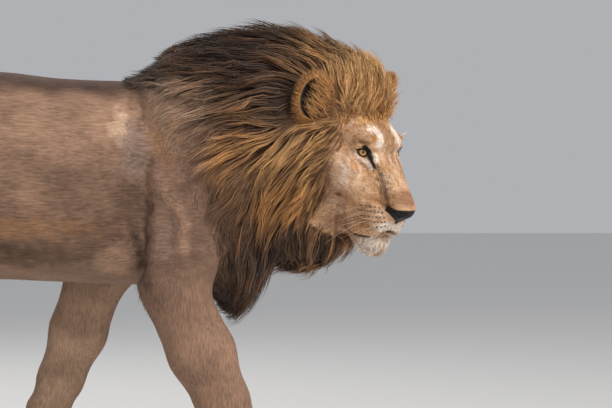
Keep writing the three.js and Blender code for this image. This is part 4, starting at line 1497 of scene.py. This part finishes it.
def add_eye(side_name, side):
    """An eyeball with its cornea, in rings round the line of sight."""
    gaze = np.array(GAZE[side_name])
    aside = norm(np.cross([0, 0, 1.0], gaze)[:, None])[:, 0]
    up = np.cross(gaze, aside)
    radii = EYE_RADIUS - 0.6 + CORNEA * np.exp(-((EYE_RINGS / IRIS) ** 4))
    streaks = np.random.default_rng(3).uniform(0.75, 1.2, EYE_TURNS)
    turns = 2 * math.pi * np.arange(EYE_TURNS) / EYE_TURNS
    away = np.cos(turns)[:, None] * aside + np.sin(turns)[:, None] * up
    points = [
        (gaze * math.cos(angle) + away * math.sin(angle)) * radius for angle, radius in zip(EYE_RINGS, radii)
    ]
    colours = [iris_colour(angle, streak) for angle in EYE_RINGS for streak in streaks]
    here = np.arange(EYE_TURNS)
    after = (here + 1) % EYE_TURNS
    ring = np.stack([here, here + EYE_TURNS, after + EYE_TURNS, after], 1)
    corners = (ring + EYE_TURNS * np.arange(len(EYE_RINGS) - 1)[:, None, None]).ravel()
    placed = in_row(from_head(np.concatenate(points).T + flipped(column(*EYE), side)))
    mesh = new_mesh("eyeball_" + side_name, placed, np.full(len(corners) // 4, 4), corners)
    add_value(mesh, "iris", colours)
    bm = bmesh.new()
    bm.from_mesh(mesh)
    bmesh.ops.remove_doubles(bm, verts=bm.verts, dist=1e-5)
    bmesh.ops.recalc_face_normals(bm, faces=bm.faces)
    bm.to_mesh(mesh)
    bm.free()
    mesh.shade_smooth()
    add_piece("eyeball_" + side_name, mesh, EYE_MATERIAL, "eye", "eye_" + side_name)


# ---------------------------------------------------------------- hair as solid strands


def scatter(count, weight):
    """Roots spread over the skin as densely as weight says: points, normals and places on the map."""
    a, b, c = (skin_points[:, skin_corners[:, k]] for k in range(3))
    area = np.sqrt((np.cross((b - a).T, (c - a).T) ** 2).sum(1)) / 2
    chance = area * weight((a + b + c) / 3)
    pick = rng.choice(len(chance), count, p=chance / chance.sum())
    u, v = rng.random(count), rng.random(count)
    u, v = np.where(u + v > 1, 1 - u, u), np.where(u + v > 1, 1 - v, v)
    shares = np.stack([1 - u - v, u, v])
    points = sum(shares[k] * skin_points[:, skin_corners[pick, k]] for k in range(3))
    normals = norm(sum(shares[k] * skin_normals[:, skin_corners[pick, k]] for k in range(3)))
    places = sum(shares[k][:, None] * skin_map[pick, k] for k in range(3))
    return points, normals, places


def across(a, b):
    """Directions (3, N) square to two others."""
    return np.cross(a.T, b.T).T


PATCH = 0.003  # how far a tuft reaches across the map
MOST_TRIANGLES = 190000  # in one piece
CREASED = 0.3  # strands flatter than this are shaded flat, or their thin edges turn dark


def strand_faces(rings):
    """The faces of a three-sided strand closed at both ends: their numbers of corners, and the corners."""
    tip = 3 * (rings - 1)
    sizes, corners = [3], [0, 1, 2]
    for a in range(tip - 3):
        b = a + 1 if a % 3 < 2 else a - 2
        sizes.append(4)
        corners += [a, a + 3, b + 3, b]
    for a in range(tip - 3, tip):
        sizes.append(3)
        corners += [a, tip, a + 1 if a % 3 < 2 else a - 2]
    return sizes, corners


def add_strands(name, paths, half_widths, ups, colours, places, material, slot, flat=0.5):
    """Solid tapered strands, as high as flat times their width. paths is (rings, 3, N) with the tip last,
    half_widths (rings, N), ups (3, N) the way each strand's flat side faces, colours (rings, N, 3) and places
    on the map (N, 2)."""
    rings, _, count = paths.shape
    if count * (6 * (rings - 2) + 4) > MOST_TRIANGLES:
        half = -(-count // 2)
        for n, part in enumerate((slice(0, half), slice(half, count))):
            parts = (paths[:, :, part], half_widths[:, part], ups[:, part], colours[:, part], places[part])
            add_strands(f"{name}_{n + 1}", *parts, material, slot, flat)
        return
    points = np.empty((count, 3 * (rings - 1) + 1, 3))
    for r in range(rings - 1):
        along = norm(paths[r + 1] - paths[max(r - 1, 0)])
        aside = norm(across(along, ups))
        over = across(aside, along)
        for k, turn in enumerate(np.radians((90, 210, 330))):
            out_by = math.cos(turn) * aside + flat * math.sin(turn) * over
            points[:, 3 * r + k] = (paths[r] + out_by * half_widths[r] * 1.15).T
    points[:, -1] = paths[-1].T
    sizes, corners = strand_faces(rings)
    all_corners = np.array(corners) + points.shape[1] * np.arange(count)[:, None]
    mesh = new_mesh(name, in_row(points.reshape(-1, 3).T), np.tile(sizes, count), all_corners.ravel())
    if flat < CREASED:
        mesh.shade_flat()
    ring_of = np.append(np.repeat(np.arange(rings - 1), 3), rings - 1)
    on_patch = np.stack([np.append(np.tile([-0.4, 0, 0.4], rings - 1), 0), ring_of / (rings - 1) - 0.5], 1)
    on_map = (places[:, None] + on_patch[corners] * PATCH).ravel()
    mesh.uv_layers.new(name="OFBake").data.foreach_set("uv", on_map.astype(np.float32))
    add_value(mesh, "coat", colours[ring_of].transpose(1, 0, 2).reshape(-1, 3))
    add_piece(name, mesh, material, slot)


def hair_top(p):
    """The lion out to the tips of its hair, with room for short hair on the body and the face."""
    return with_head(blend(solid_body(p) - 6, mane(p), 30), p, lambda h: face(h) - 8)


def combed(roots, lengths, lie, tip_share, rings, lift=1.5):
    """Paths (rings, 3, N) of hair that rises from its roots and lies down along the body. Its tips come to
    lie at a share of the roots' own depth."""
    depth = -hair_top(roots)
    path = [roots]
    for share in np.arange(1, rings) / (rings - 1):
        p = path[-1]
        out = slope_of(hair_top, p)
        out = out[0] / out[1]
        way = lie(p)
        way = norm(way - out * (way * out).sum(0) + out * 1e-4)
        p = p + way * (lengths / (rings - 1))
        wanted = depth * ((1 - share) ** lift * (1 - tip_share) + tip_share)
        slope, steepness = slope_of(hair_top, p)
        path.append(p + slope / steepness * np.clip((-wanted - hair_top(p)) / steepness, -35, 35))
    return np.stack(path)


LOCKS = 5200
STRANDS_IN_LOCK = 6
LOCK_SPREAD = 5.0
MANE_RINGS = 6
MANE_HALF_WIDTH = 1.15
FULL_LOCK = 110  # locks shorter than this are thinner and closer too


def mane_length(p):
    """The length of the mane's hair by place."""
    h = to_head(p)
    on_crown = step(-200, -130, h[0]) * step(40, 90, h[2])
    below_face = step(-150, -60, h[0]) * step(-150, -210, h[2])
    length = 170 + 40 * step(800, 640, p[2]) - 30 * step(1080, 1160, p[2]) - 50 * on_crown - 60 * below_face
    return length * (0.13 + 0.87 * np.minimum(mane_share(p) * (1 + 0.6 * on_crown), 1))


def mane_piece_of(p):
    """The piece of the mane that each root belongs to."""
    h = to_head(p)
    on_crown = (h[0] > -190) & (h[2] > 40)
    on_ruff = (h[0] > -170) & ~on_crown
    low = ~on_crown & ~on_ruff & (p[2] < 700)
    right = np.where(on_ruff, h[1] < 0, p[1] < neck_centre(p[0]))
    places = [on_crown, on_ruff & right, on_ruff, low, right]
    names = ["crown_hair", "ruff_hair_right", "ruff_hair_left", "breast_hair", "neck_hair_right"]
    return np.select(places, names, "neck_hair_left")


def in_ear_mouth(paths):
    """Which hair hangs before the outer half of the mouth of an ear."""
    inside = np.zeros(paths.shape[2], bool)
    for p in paths[1:]:
        q = to_ear(mirrored(to_head(p)))
        inside |= (size_of((q - column(30, 20, 6)) / column(44, 32, 60)) < 1) | (ear_flap(q) < -4)
    return inside


def lock_density(p):
    """Where locks grow, denser towards the edges of the mane."""
    share = mane_share(p)
    return (share > 0.02) * (0.6 + 1.4 * step(1.0, 0.3, share))


def lock_strands(paths, lengths, sway):
    """One strand of each lock: beside the lock's own path at the root and close to it at the tip."""
    count = paths.shape[2]
    shares = np.linspace(0, 1, len(paths))[:, None, None]
    size = np.clip(lengths / FULL_LOCK, 0.3, 1)
    ups = norm(slope_of(hair_top, paths[-2])[0] + 0.5 * rng.normal(size=(3, count)))
    along = norm(paths[-1] - paths[0])
    offset = rng.normal(size=(3, count)) * LOCK_SPREAD
    offset = (offset - along * (offset * along).sum(0)) * size
    loose = rng.normal(size=(3, count)) * 3.2 * size
    strand = paths[0] + (paths - paths[0]) * (1 + rng.uniform(-0.2, 0.08, count) * shares)
    strand = strand + offset * (1 - 0.8 * shares**1.3) + loose * shares**2
    wave, phase = sway
    return strand + norm(across(along, ups)) * wave * size * np.sin(phase + 5.2 * shares) * shares, ups


def grow_mane():
    """Locks of strands that part at the root and run together towards the tip."""
    roots, _, places = scatter(LOCKS, lock_density)
    lengths = mane_length(roots) * rng.uniform(0.75, 1.25, LOCKS)
    raised = np.clip(0.5 + 0.55 * ripple(roots, 62, 41) + rng.normal(0, 0.22, LOCKS), 0, 1)
    tip_share = 0.64 - 0.6 * raised - 0.34 * rng.random(LOCKS) ** 5
    on_shoulder = step(70, -20, roots[0] - mane_edge(roots[2])) * (roots[2] < 1085)
    tip_share = tip_share + (0.9 - tip_share) * on_shoulder
    paths = combed(roots, lengths, mane_lie, tip_share, MANE_RINGS)
    short = in_ear_mouth(paths)
    lengths[short] *= 0.4
    paths[:, :, short] = combed(roots[:, short], lengths[short], mane_lie, tip_share[short] - 0.3, MANE_RINGS)
    keep = ~in_ear_mouth(paths)
    tone = 0.12 + 0.85 * raised + rng.normal(0, 0.2, LOCKS)
    sway = rng.uniform(-8, 8, LOCKS), rng.uniform(0, 6.28, LOCKS)
    bright = 1 + rng.uniform(-0.25, 0.3, LOCKS) * step(0.1, 0.5, mane_share(roots))
    pieces = mane_piece_of(roots)
    along = np.linspace(0, 1, MANE_RINGS)
    taper = np.minimum(0.55 + 3 * along, 1) * np.maximum(1 - along**2.4, 0.02)
    lighter = 0.2 + 0.85 * np.minimum(1, 1.7 * along)
    made = {name: [] for name in np.unique(pieces[keep])}
    for _ in range(STRANDS_IN_LOCK):
        strand, ups = lock_strands(paths, lengths, sway)
        width = MANE_HALF_WIDTH * np.clip(lengths / FULL_LOCK, 0.5, 1.15) * rng.uniform(0.7, 1.3, LOCKS)
        tones = np.clip((tone + rng.normal(0, 0.14, LOCKS)) * lighter[:, None], 0, 1.2)
        colours = np.stack([mane_colour(*ring) for ring in zip(strand, tones)])
        colours = colours * (bright * rng.uniform(0.88, 1.12, LOCKS))[:, None]
        widths = width * taper[:, None]
        for name, batches in made.items():
            own = keep & (pieces == name)
            spot = places[own] + rng.uniform(-0.001, 0.001, (own.sum(), 2))
            batches.append((strand[:, :, own], widths[:, own], ups[:, own], colours[:, own], spot))
    for name, batches in made.items():
        joined = [np.concatenate(parts, axis) for parts, axis in zip(zip(*batches), (2, 1, 1, 1, 0))]
        add_strands(name, *joined, MANE_MATERIAL, "mane")


def to_side(v, side):
    """Directions of the head's left side, brought to the given side and into the lion's frame."""
    return HEAD_AXES @ flipped(v, side)


def grow_curved(name, roots, ways, bends, lengths, half_width, ups, colours, places, material, slot, rings=6):
    """Hairs that leave their roots along ways and bend as they go. colours are those of root and tip."""
    along = np.linspace(0, 1, rings)[:, None, None]
    paths = roots + norm(ways) * lengths * along + bends * lengths * along**2
    widths = half_width * (1 - along[:, 0] ** 2.5) * rng.uniform(0.75, 1.25, lengths.shape)
    root, tip = colours
    shades = (root + (tip - root) * along) * rng.uniform(0.8, 1.2, (1, len(lengths), 1))
    add_strands(name, paths, np.maximum(widths, 0.02), ups, shades, places, material, slot)


FAN_HAIRS = 3000


def fan_density(p):
    """Full round the whorl before each ear, thinner over the forehead."""
    h = to_head(p)
    q = mirrored(h)
    forehead = step(66, 84, h[2]) * step(-150, -110, h[0]) * 0.45
    in_hair = np.maximum(behind_hairline(h), q[1] - 78) > -12
    return np.maximum(step(58, 20, far_from(q, WHORL)), forehead) * in_hair * ~on_ears(p)


def grow_fan():
    """Golden hair that springs from the whorl before each ear and stands up over the forehead."""
    roots, normals, places = scatter(FAN_HAIRS, fan_density)
    h = to_head(roots)
    away = mirrored(h) - column(*WHORL)
    radial = norm(away + rng.normal(0, 9, (3, FAN_HAIRS)))
    share = step(70, 25, size_of(away))
    way = to_side(radial * share + column(-0.35, 0, 0.95) * (1 - share), np.sign(h[1])) + normals * 0.55
    way = way + rng.normal(0, 0.12, (3, FAN_HAIRS))
    lengths = rng.uniform(30, 68, FAN_HAIRS) * (0.35 + 0.65 * step(-40, -90, h[0]))
    bend = -normals * 0.3 + HEAD_AXES @ column(-0.25, 0, 0.1)
    tone = rng.uniform(0.75, 1.2, (FAN_HAIRS, 1))
    shades = (OCHRE * 0.8 * tone, STRAW * tone)
    grow_curved("crown_fan", roots, way, bend, lengths, 1.05, normals, shades, places, MANE_MATERIAL, "mane")


MANE_MATERIAL = hair_material("mane hair", 0.5, 0.35)
FUR_MATERIAL = hair_material("short fur tufts", 0.7, 0.25, 0.25)
WHISKER_MATERIAL = hair_material("whiskers and lashes", 0.4, 0.05, 0.4)

# ---------------------------------------------------------------- short coat


def tail_joint(p):
    """The number of the joint of the tail nearest to each point."""
    return np.argmin(((p.T[:, None] - tail_line) ** 2).sum(2), 1)


def body_lie(p):
    """The way the short hair runs: back on the trunk, down the legs, along the tail, away from the nose."""
    down = lie_downward(p)
    over = step(0.2, 0.8, height_up(p))
    way = np.stack([-1 + 0.75 * down, 0 * down, -0.55 + 0.45 * over - down])
    behind = p[0] < RUMP_X - 20
    joint = np.minimum(tail_joint(p[:, behind]), TAIL_JOINTS - 2)
    way[:, behind] = norm((tail_line[joint + 1] - tail_line[joint]).T)
    way[:, on_paws(p)] = column(0.9, 0, -0.5)
    h = to_head(p)
    from_nose = HEAD_AXES @ norm(h - column(150, 0, -120))
    return norm(way) * (1 - face_share(h)) + from_nose * face_share(h)


def body_tuft_length(p):
    """Short on the legs, longer under the belly, behind the thighs and at the elbows."""
    length = 15 - 3 * step(560, 300, p[2]) - 3 * step(120, 60, p[2])
    belly = step(30, 0, p[2] - belly_line(p[0])) * (p[2] > 520) * (p[0] > -900)
    thigh = step(-1010, -1090, p[0]) * step(500, 640, p[2]) * step(950, 860, p[2])
    elbow = step(100, 60, np.hypot(p[0] + 70, p[2] - 640)) * (np.abs(p[1]) > 90)
    return length + 16 * belly + 14 * thigh + 8 * elbow


def face_tuft_length(p):
    """Shortest by the nose, longer where the face meets the mane."""
    h = to_head(p)
    return 4.5 + 5.5 * step(40, 190, far_from(h, [130, 0, -112])) + 12 * step(-45, 0, behind_hairline(h))


def paw_tuft_length(p):
    """The same all over the paws."""
    return np.full(p.shape[1], 8.0)


def off_mane(p):
    """1 where the mane and the ears leave room for short hair."""
    return step(0.35, 0.05, mane_share(p)) * ~on_ears(p)


def on_flank(side):
    """Where tufts grow on one side of the body."""
    return lambda p: (side * p[1] > 0) * off_mane(p) * (p[0] < 250) * (p[2] > 110)


def on_fur_of_paws(p):
    """The paws without their soles."""
    return (p[2] < 125) & (p[2] > 6)


def on_fur_of_face(p):
    """The face without the nose, lips, lids and scar."""
    h = to_head(p)
    q = mirrored(h)
    share, r = lid_share(h)
    bare = pad_share(h) + (share < 1.3) * (r < 40) + (off_path(MOUTH_LINE, q) < 6)
    bare = bare + (off_path(CLEFT, q) < 2.5) + (dab_share(q, *MOUTH_FRONT) > 0.3)
    bare = bare + (h[1] < 0) * dab_share(h, SCAR_PLACE, [13, 14, 5])
    return (face_share(h) > 0.4) * off_mane(p) * (bare < 0.3)


def grow_short(name, count, weight, length_of, half_width, height, slot, tone):
    """Tufts that lie flat along the skin and lift a little at the tip."""
    roots, normals, places = scatter(count, weight)
    way = body_lie(roots) + rng.normal(0, 0.16, (3, count))
    way = norm(way - normals * (way * normals).sum(0))
    full = length_of(roots)
    length = full * rng.uniform(0.7, 1.3, count)
    rise = height * rng.uniform(0.5, 1.2, count) + 0.12 * np.maximum(full - 22, 0)
    middle = roots + way * length * 0.4 + normals * rise * 0.3
    paths = np.stack([roots - normals * 0.6, middle, roots + way * length + normals * rise])
    widths = column(0.8, 1, 0) * half_width * rng.uniform(0.7, 1.3, count)
    colour = coat_colour(roots, normals) * rng.uniform(*tone, count)[:, None]
    colours = np.stack([colour, colour * 1.08, colour * 1.2])
    add_strands(name, paths, widths, normals, colours, places, FUR_MATERIAL, slot, 0.2)


def grow_short_coat():
    """The tufts that break up the short coat of body, paws and face."""
    for name, side in (("body_fur_right", RIGHT), ("body_fur_left", LEFT)):
        grow_short(name, 8500, on_flank(side), body_tuft_length, 0.7, 0.3, "coat", (0.95, 1.2))
    grow_short("paw_fur", 3500, on_fur_of_paws, paw_tuft_length, 1.0, 1.2, "pale_coat", (0.9, 1.15))
    grow_short("face_fur", 16000, on_fur_of_face, face_tuft_length, 0.62, 1.2, "face_coat", (0.75, 1.3))


# ---------------------------------------------------------------- hair of the ears


def outside_of_ears(p):
    """The backs and rims of the ears."""
    q = to_ear(mirrored(to_head(p)))
    off = np.hypot(q[1] / EAR_RADII[1], q[2] / EAR_RADII[2])
    return on_ears(p) * ((off > 0.8) | (q[0] < -8))


def front_edge_of_ears(p):
    """The edge of each ear that lies nearest to the forehead."""
    q = to_ear(mirrored(to_head(p)))
    return on_ears(p) * (q[1] < -14) * (q[0] > -6) * (q[2] < 40)


EAR_HAIRS = 3200
EAR_TUFT_HAIRS = 620


def grow_ear_hair():
    """Short hair all over the ears, and long pale hair from their front edges across the hollow."""
    roots, normals, places = scatter(EAR_HAIRS, outside_of_ears)
    h = to_head(roots)
    q = to_ear(mirrored(h))
    way = EAR_AXES @ norm(np.stack([0.1 * q[0] - 8, q[1], q[2] * 0.7 + 22]))
    way = to_side(way, np.sign(h[1])) + normals * 0.2 + rng.normal(0, 0.2, (3, EAR_HAIRS))
    lengths = rng.uniform(8, 16, EAR_HAIRS)
    colour = np.clip(ear_colour_and_hollow_shade(h), UMBER * 0.6, 1) * rng.uniform(0.7, 1.3, (EAR_HAIRS, 1))
    shades = (colour * 0.9, colour * 1.15)
    grow_curved("ear_fur", roots, way, way * 0, lengths, 0.8, normals, shades, places, FUR_MATERIAL,
                "ear_coat", 4)
    roots, normals, places = scatter(EAR_TUFT_HAIRS, front_edge_of_ears)
    side = np.sign(to_head(roots)[1])
    way = to_side(EAR_AXES @ (column(0.4, 0.62, 0.55) + rng.normal(0, 0.2, (3, EAR_TUFT_HAIRS))), side)
    lengths = rng.uniform(26, 62, EAR_TUFT_HAIRS)
    bend = to_side(EAR_AXES @ np.tile(column(-0.25, 0.15, 0.1), EAR_TUFT_HAIRS), side)
    shades = (OCHRE * 0.8, GOLD * 1.1)
    grow_curved("ear_tufts", roots, way, bend, lengths, 0.8, normals, shades, places, MANE_MATERIAL,
                "ear_coat")


# ---------------------------------------------------------------- feelers, lashes, chin and tail


def map_places(points):
    """The places on the skin's map nearest to points."""
    corners = skin_points[:, skin_corners[:, 0]]
    near_head = np.flatnonzero(on_face(corners))
    nearest = [near_head[np.argmin(far_from(corners[:, near_head], p))] for p in points.T]
    return skin_map[nearest, 0]


def lid_points(along, past):
    """Points on the edge of the upper lid of the left eye, from -1 at the inner corner to 1 at the outer."""
    a = along * LID_HALF_LENGTH
    b = LID_HALF_HEIGHT * np.sqrt(1 - np.abs(along) ** LID_CURVE) * past
    d = column(*LID_MIDDLE) + column(*LID_LONG) * np.tan(a) + column(*LID_TALL) * np.tan(b)
    return column(*EYE) + norm(d) * (EYE_RADIUS + LID_THICKNESS - 0.5)


def grow_feelers(name, side, on_left, way, bend, lengths, half_width, up, colours, rings):
    """Long thin hairs on one side of the face, given by their roots and ways on its left side."""
    roots = from_head(flipped(on_left, side))
    ways, bends = to_side(way, side), to_side(np.tile(bend, len(lengths)), side)
    ups = to_side(np.tile(up, len(lengths)), side)
    name = name + ("_right" if side == RIGHT else "_left")
    grow_curved(name, roots, ways, bends, lengths, half_width, ups, colours, map_places(roots),
                WHISKER_MATERIAL, "face_coat", rings)


LASHES = np.linspace(-0.75, 0.98, 26)  # their places along the upper lid


def grow_face_hair():
    """Whiskers, lashes and the few long hairs over the eyes."""
    whiskers = whisker_roots[1::3].T
    lashes = lid_points(LASHES, 1.05)
    over_eye = laid([[10, 40, 44], [2, 54, 44], [-8, 64, 40]], 3).T
    tall = column(*LID_TALL)
    for side in (RIGHT, LEFT):
        way = column(-0.55, 0.72, -0.2) + rng.normal(0, 0.13, whiskers.shape)
        bend, up = column(-0.2, -0.12, -0.42), column(0, 0.5, 0.8)
        lengths = rng.uniform(55, 125, whiskers.shape[1])
        grow_feelers("whiskers", side, whiskers, way, bend, lengths, 0.4, up, (PALE, WHITE), 8)
        way = norm(lashes - column(*EYE)) + column(*LID_LONG) * (0.5 + 0.5 * LASHES) - tall * 0.15
        lengths = rng.uniform(7, 13, len(LASHES))
        grow_feelers("lashes", side, lashes, way, tall * 0.2, lengths, 0.5, tall, (BLACK, BLACK), 4)
        way = column(0.55, 0.5, 0.5) + rng.normal(0, 0.2, over_eye.shape)
        straight, up = column(0, 0, 0), flipped(HEAD_AXES.T @ column(0.6, 0.6, 0.6), side)
        lengths = rng.uniform(18, 40, over_eye.shape[1])
        grow_feelers("brow_hairs", side, over_eye, way, straight, lengths, 0.32, up, (WHITE, WHITE), 5)


def under_chin(p):
    """The chin and the lower lip below the line of the mouth."""
    h = to_head(p)
    on_chin = (h[2] < -200) & (h[0] > -4) & (h[0] < 92) & (np.abs(h[1]) < 50)
    return on_chin & (off_path(MOUTH_LINE, mirrored(h)) > 6)


CHIN_HAIRS = 2600


def grow_chin_hair():
    """The white hair of the chin."""
    roots, normals, places = scatter(CHIN_HAIRS, under_chin)
    h = to_head(roots)
    way = HEAD_AXES @ (column(-0.35, 0, -1) + rng.normal(0, 0.2, (3, CHIN_HAIRS))) + normals * 0.3
    lengths = rng.uniform(7, 17, CHIN_HAIRS) * (0.5 + 0.5 * step(-205, -235, h[2]))
    colour = coat_colour(roots, normals) * rng.uniform(0.95, 1.2, (CHIN_HAIRS, 1))
    shades = (colour, colour * 1.05)
    grow_curved("chin_hair", roots, way, 0 * way, lengths, 0.9, normals, shades, places, FUR_MATERIAL,
                "face_coat", 5)


def on_tuft(p):
    """The end of the tail."""
    return (p[0] < TAIL_X) * (tail_joint(p) > TUFT_START * TAIL_JOINTS - 2)


TAIL_HAIRS = 1500


def grow_tail_hair():
    """The dark tuft that ends the tail."""
    roots, normals, places = scatter(TAIL_HAIRS, on_tuft)
    way = body_lie(roots) + normals * 0.25 + rng.normal(0, 0.16, (3, TAIL_HAIRS))
    lengths = rng.uniform(40, 95, TAIL_HAIRS) * step(-20, 120, roots[2])
    colour = DARK * rng.uniform(0.5, 1.3, (TAIL_HAIRS, 1))
    bend, shades = -normals * 0.25, (colour, colour)
    grow_curved("tail_hair", roots, way, bend, lengths, 1.5, normals, shades, places, MANE_MATERIAL,
                "dark_mane")


add_skin()
add_eye("right", RIGHT)
add_eye("left", LEFT)
grow_mane()
grow_fan()
grow_short_coat()
grow_ear_hair()
grow_face_hair()
grow_chin_hair()
grow_tail_hair()

# ---------------------------------------------------------------- floor, lights and camera


def add_floor():
    """A plain pale floor."""
    bpy.ops.mesh.primitive_plane_add(size=30)
    floor = bpy.context.object
    floor.name = "floor"
    material, _, shader = new_material("pale floor", 0.9)
    shader.inputs["Base Color"].default_value = (0.78, 0.77, 0.75, 1)
    floor.data.materials.append(material)


def add_aimed(name, data, place, target):
    """A light or a camera at a place, turned to look at a target."""
    holder = add_object(name, data)
    holder.location = place
    holder.rotation_euler = (Vector(target) - Vector(place)).to_track_quat("-Z", "Y").to_euler()
    return holder


def area_light(name, place, target, size, power, colour):
    """A round soft light at a place in the row frame, turned to a target."""
    light = bpy.data.lights.new(name, "AREA")
    light.shape, light.size, light.energy, light.color = "DISK", size, power, colour
    add_aimed(name, light, place, target)


CAMERA_DISTANCE = 5800
CAMERA_X = 320
CAMERA_HEIGHT = 990
LOOK_HEIGHT = 789


def add_camera():
    """The camera at the lion's right side, a little above its back."""
    camera = bpy.data.cameras.new("camera")
    camera.lens, camera.sensor_width = 134.4, 36
    place, target = in_row(np.array([[CAMERA_X] * 2, [-CAMERA_DISTANCE, 0], [CAMERA_HEIGHT, LOOK_HEIGHT]]))
    bpy.context.scene.camera = add_aimed("camera", camera, place, target)


def set_world():
    """Dim, even, faintly blue light from all round."""
    world = bpy.data.worlds.new("studio")
    world.use_nodes = True
    background = world.node_tree.nodes["Background"]
    background.inputs["Color"].default_value = (0.78, 0.8, 0.84, 1)
    background.inputs["Strength"].default_value = 0.55
    bpy.context.scene.world = world
    bpy.context.scene.view_settings.view_transform = "Standard"


add_floor()
area_light("key", (2.9, -2.6, 3.7), (0.75, -0.1, 0.9), 1.2, 140, (1, 0.97, 0.93))
area_light("fill", (-2.5, -4.5, 3.0), (0.0, 0, 0.8), 2.5, 10, (0.95, 0.97, 1))
area_light("back", (-1.0, 3.0, 3.4), (0.3, 0, 0.9), 2.0, 50, (1, 0.98, 0.95))
set_world()
add_camera()
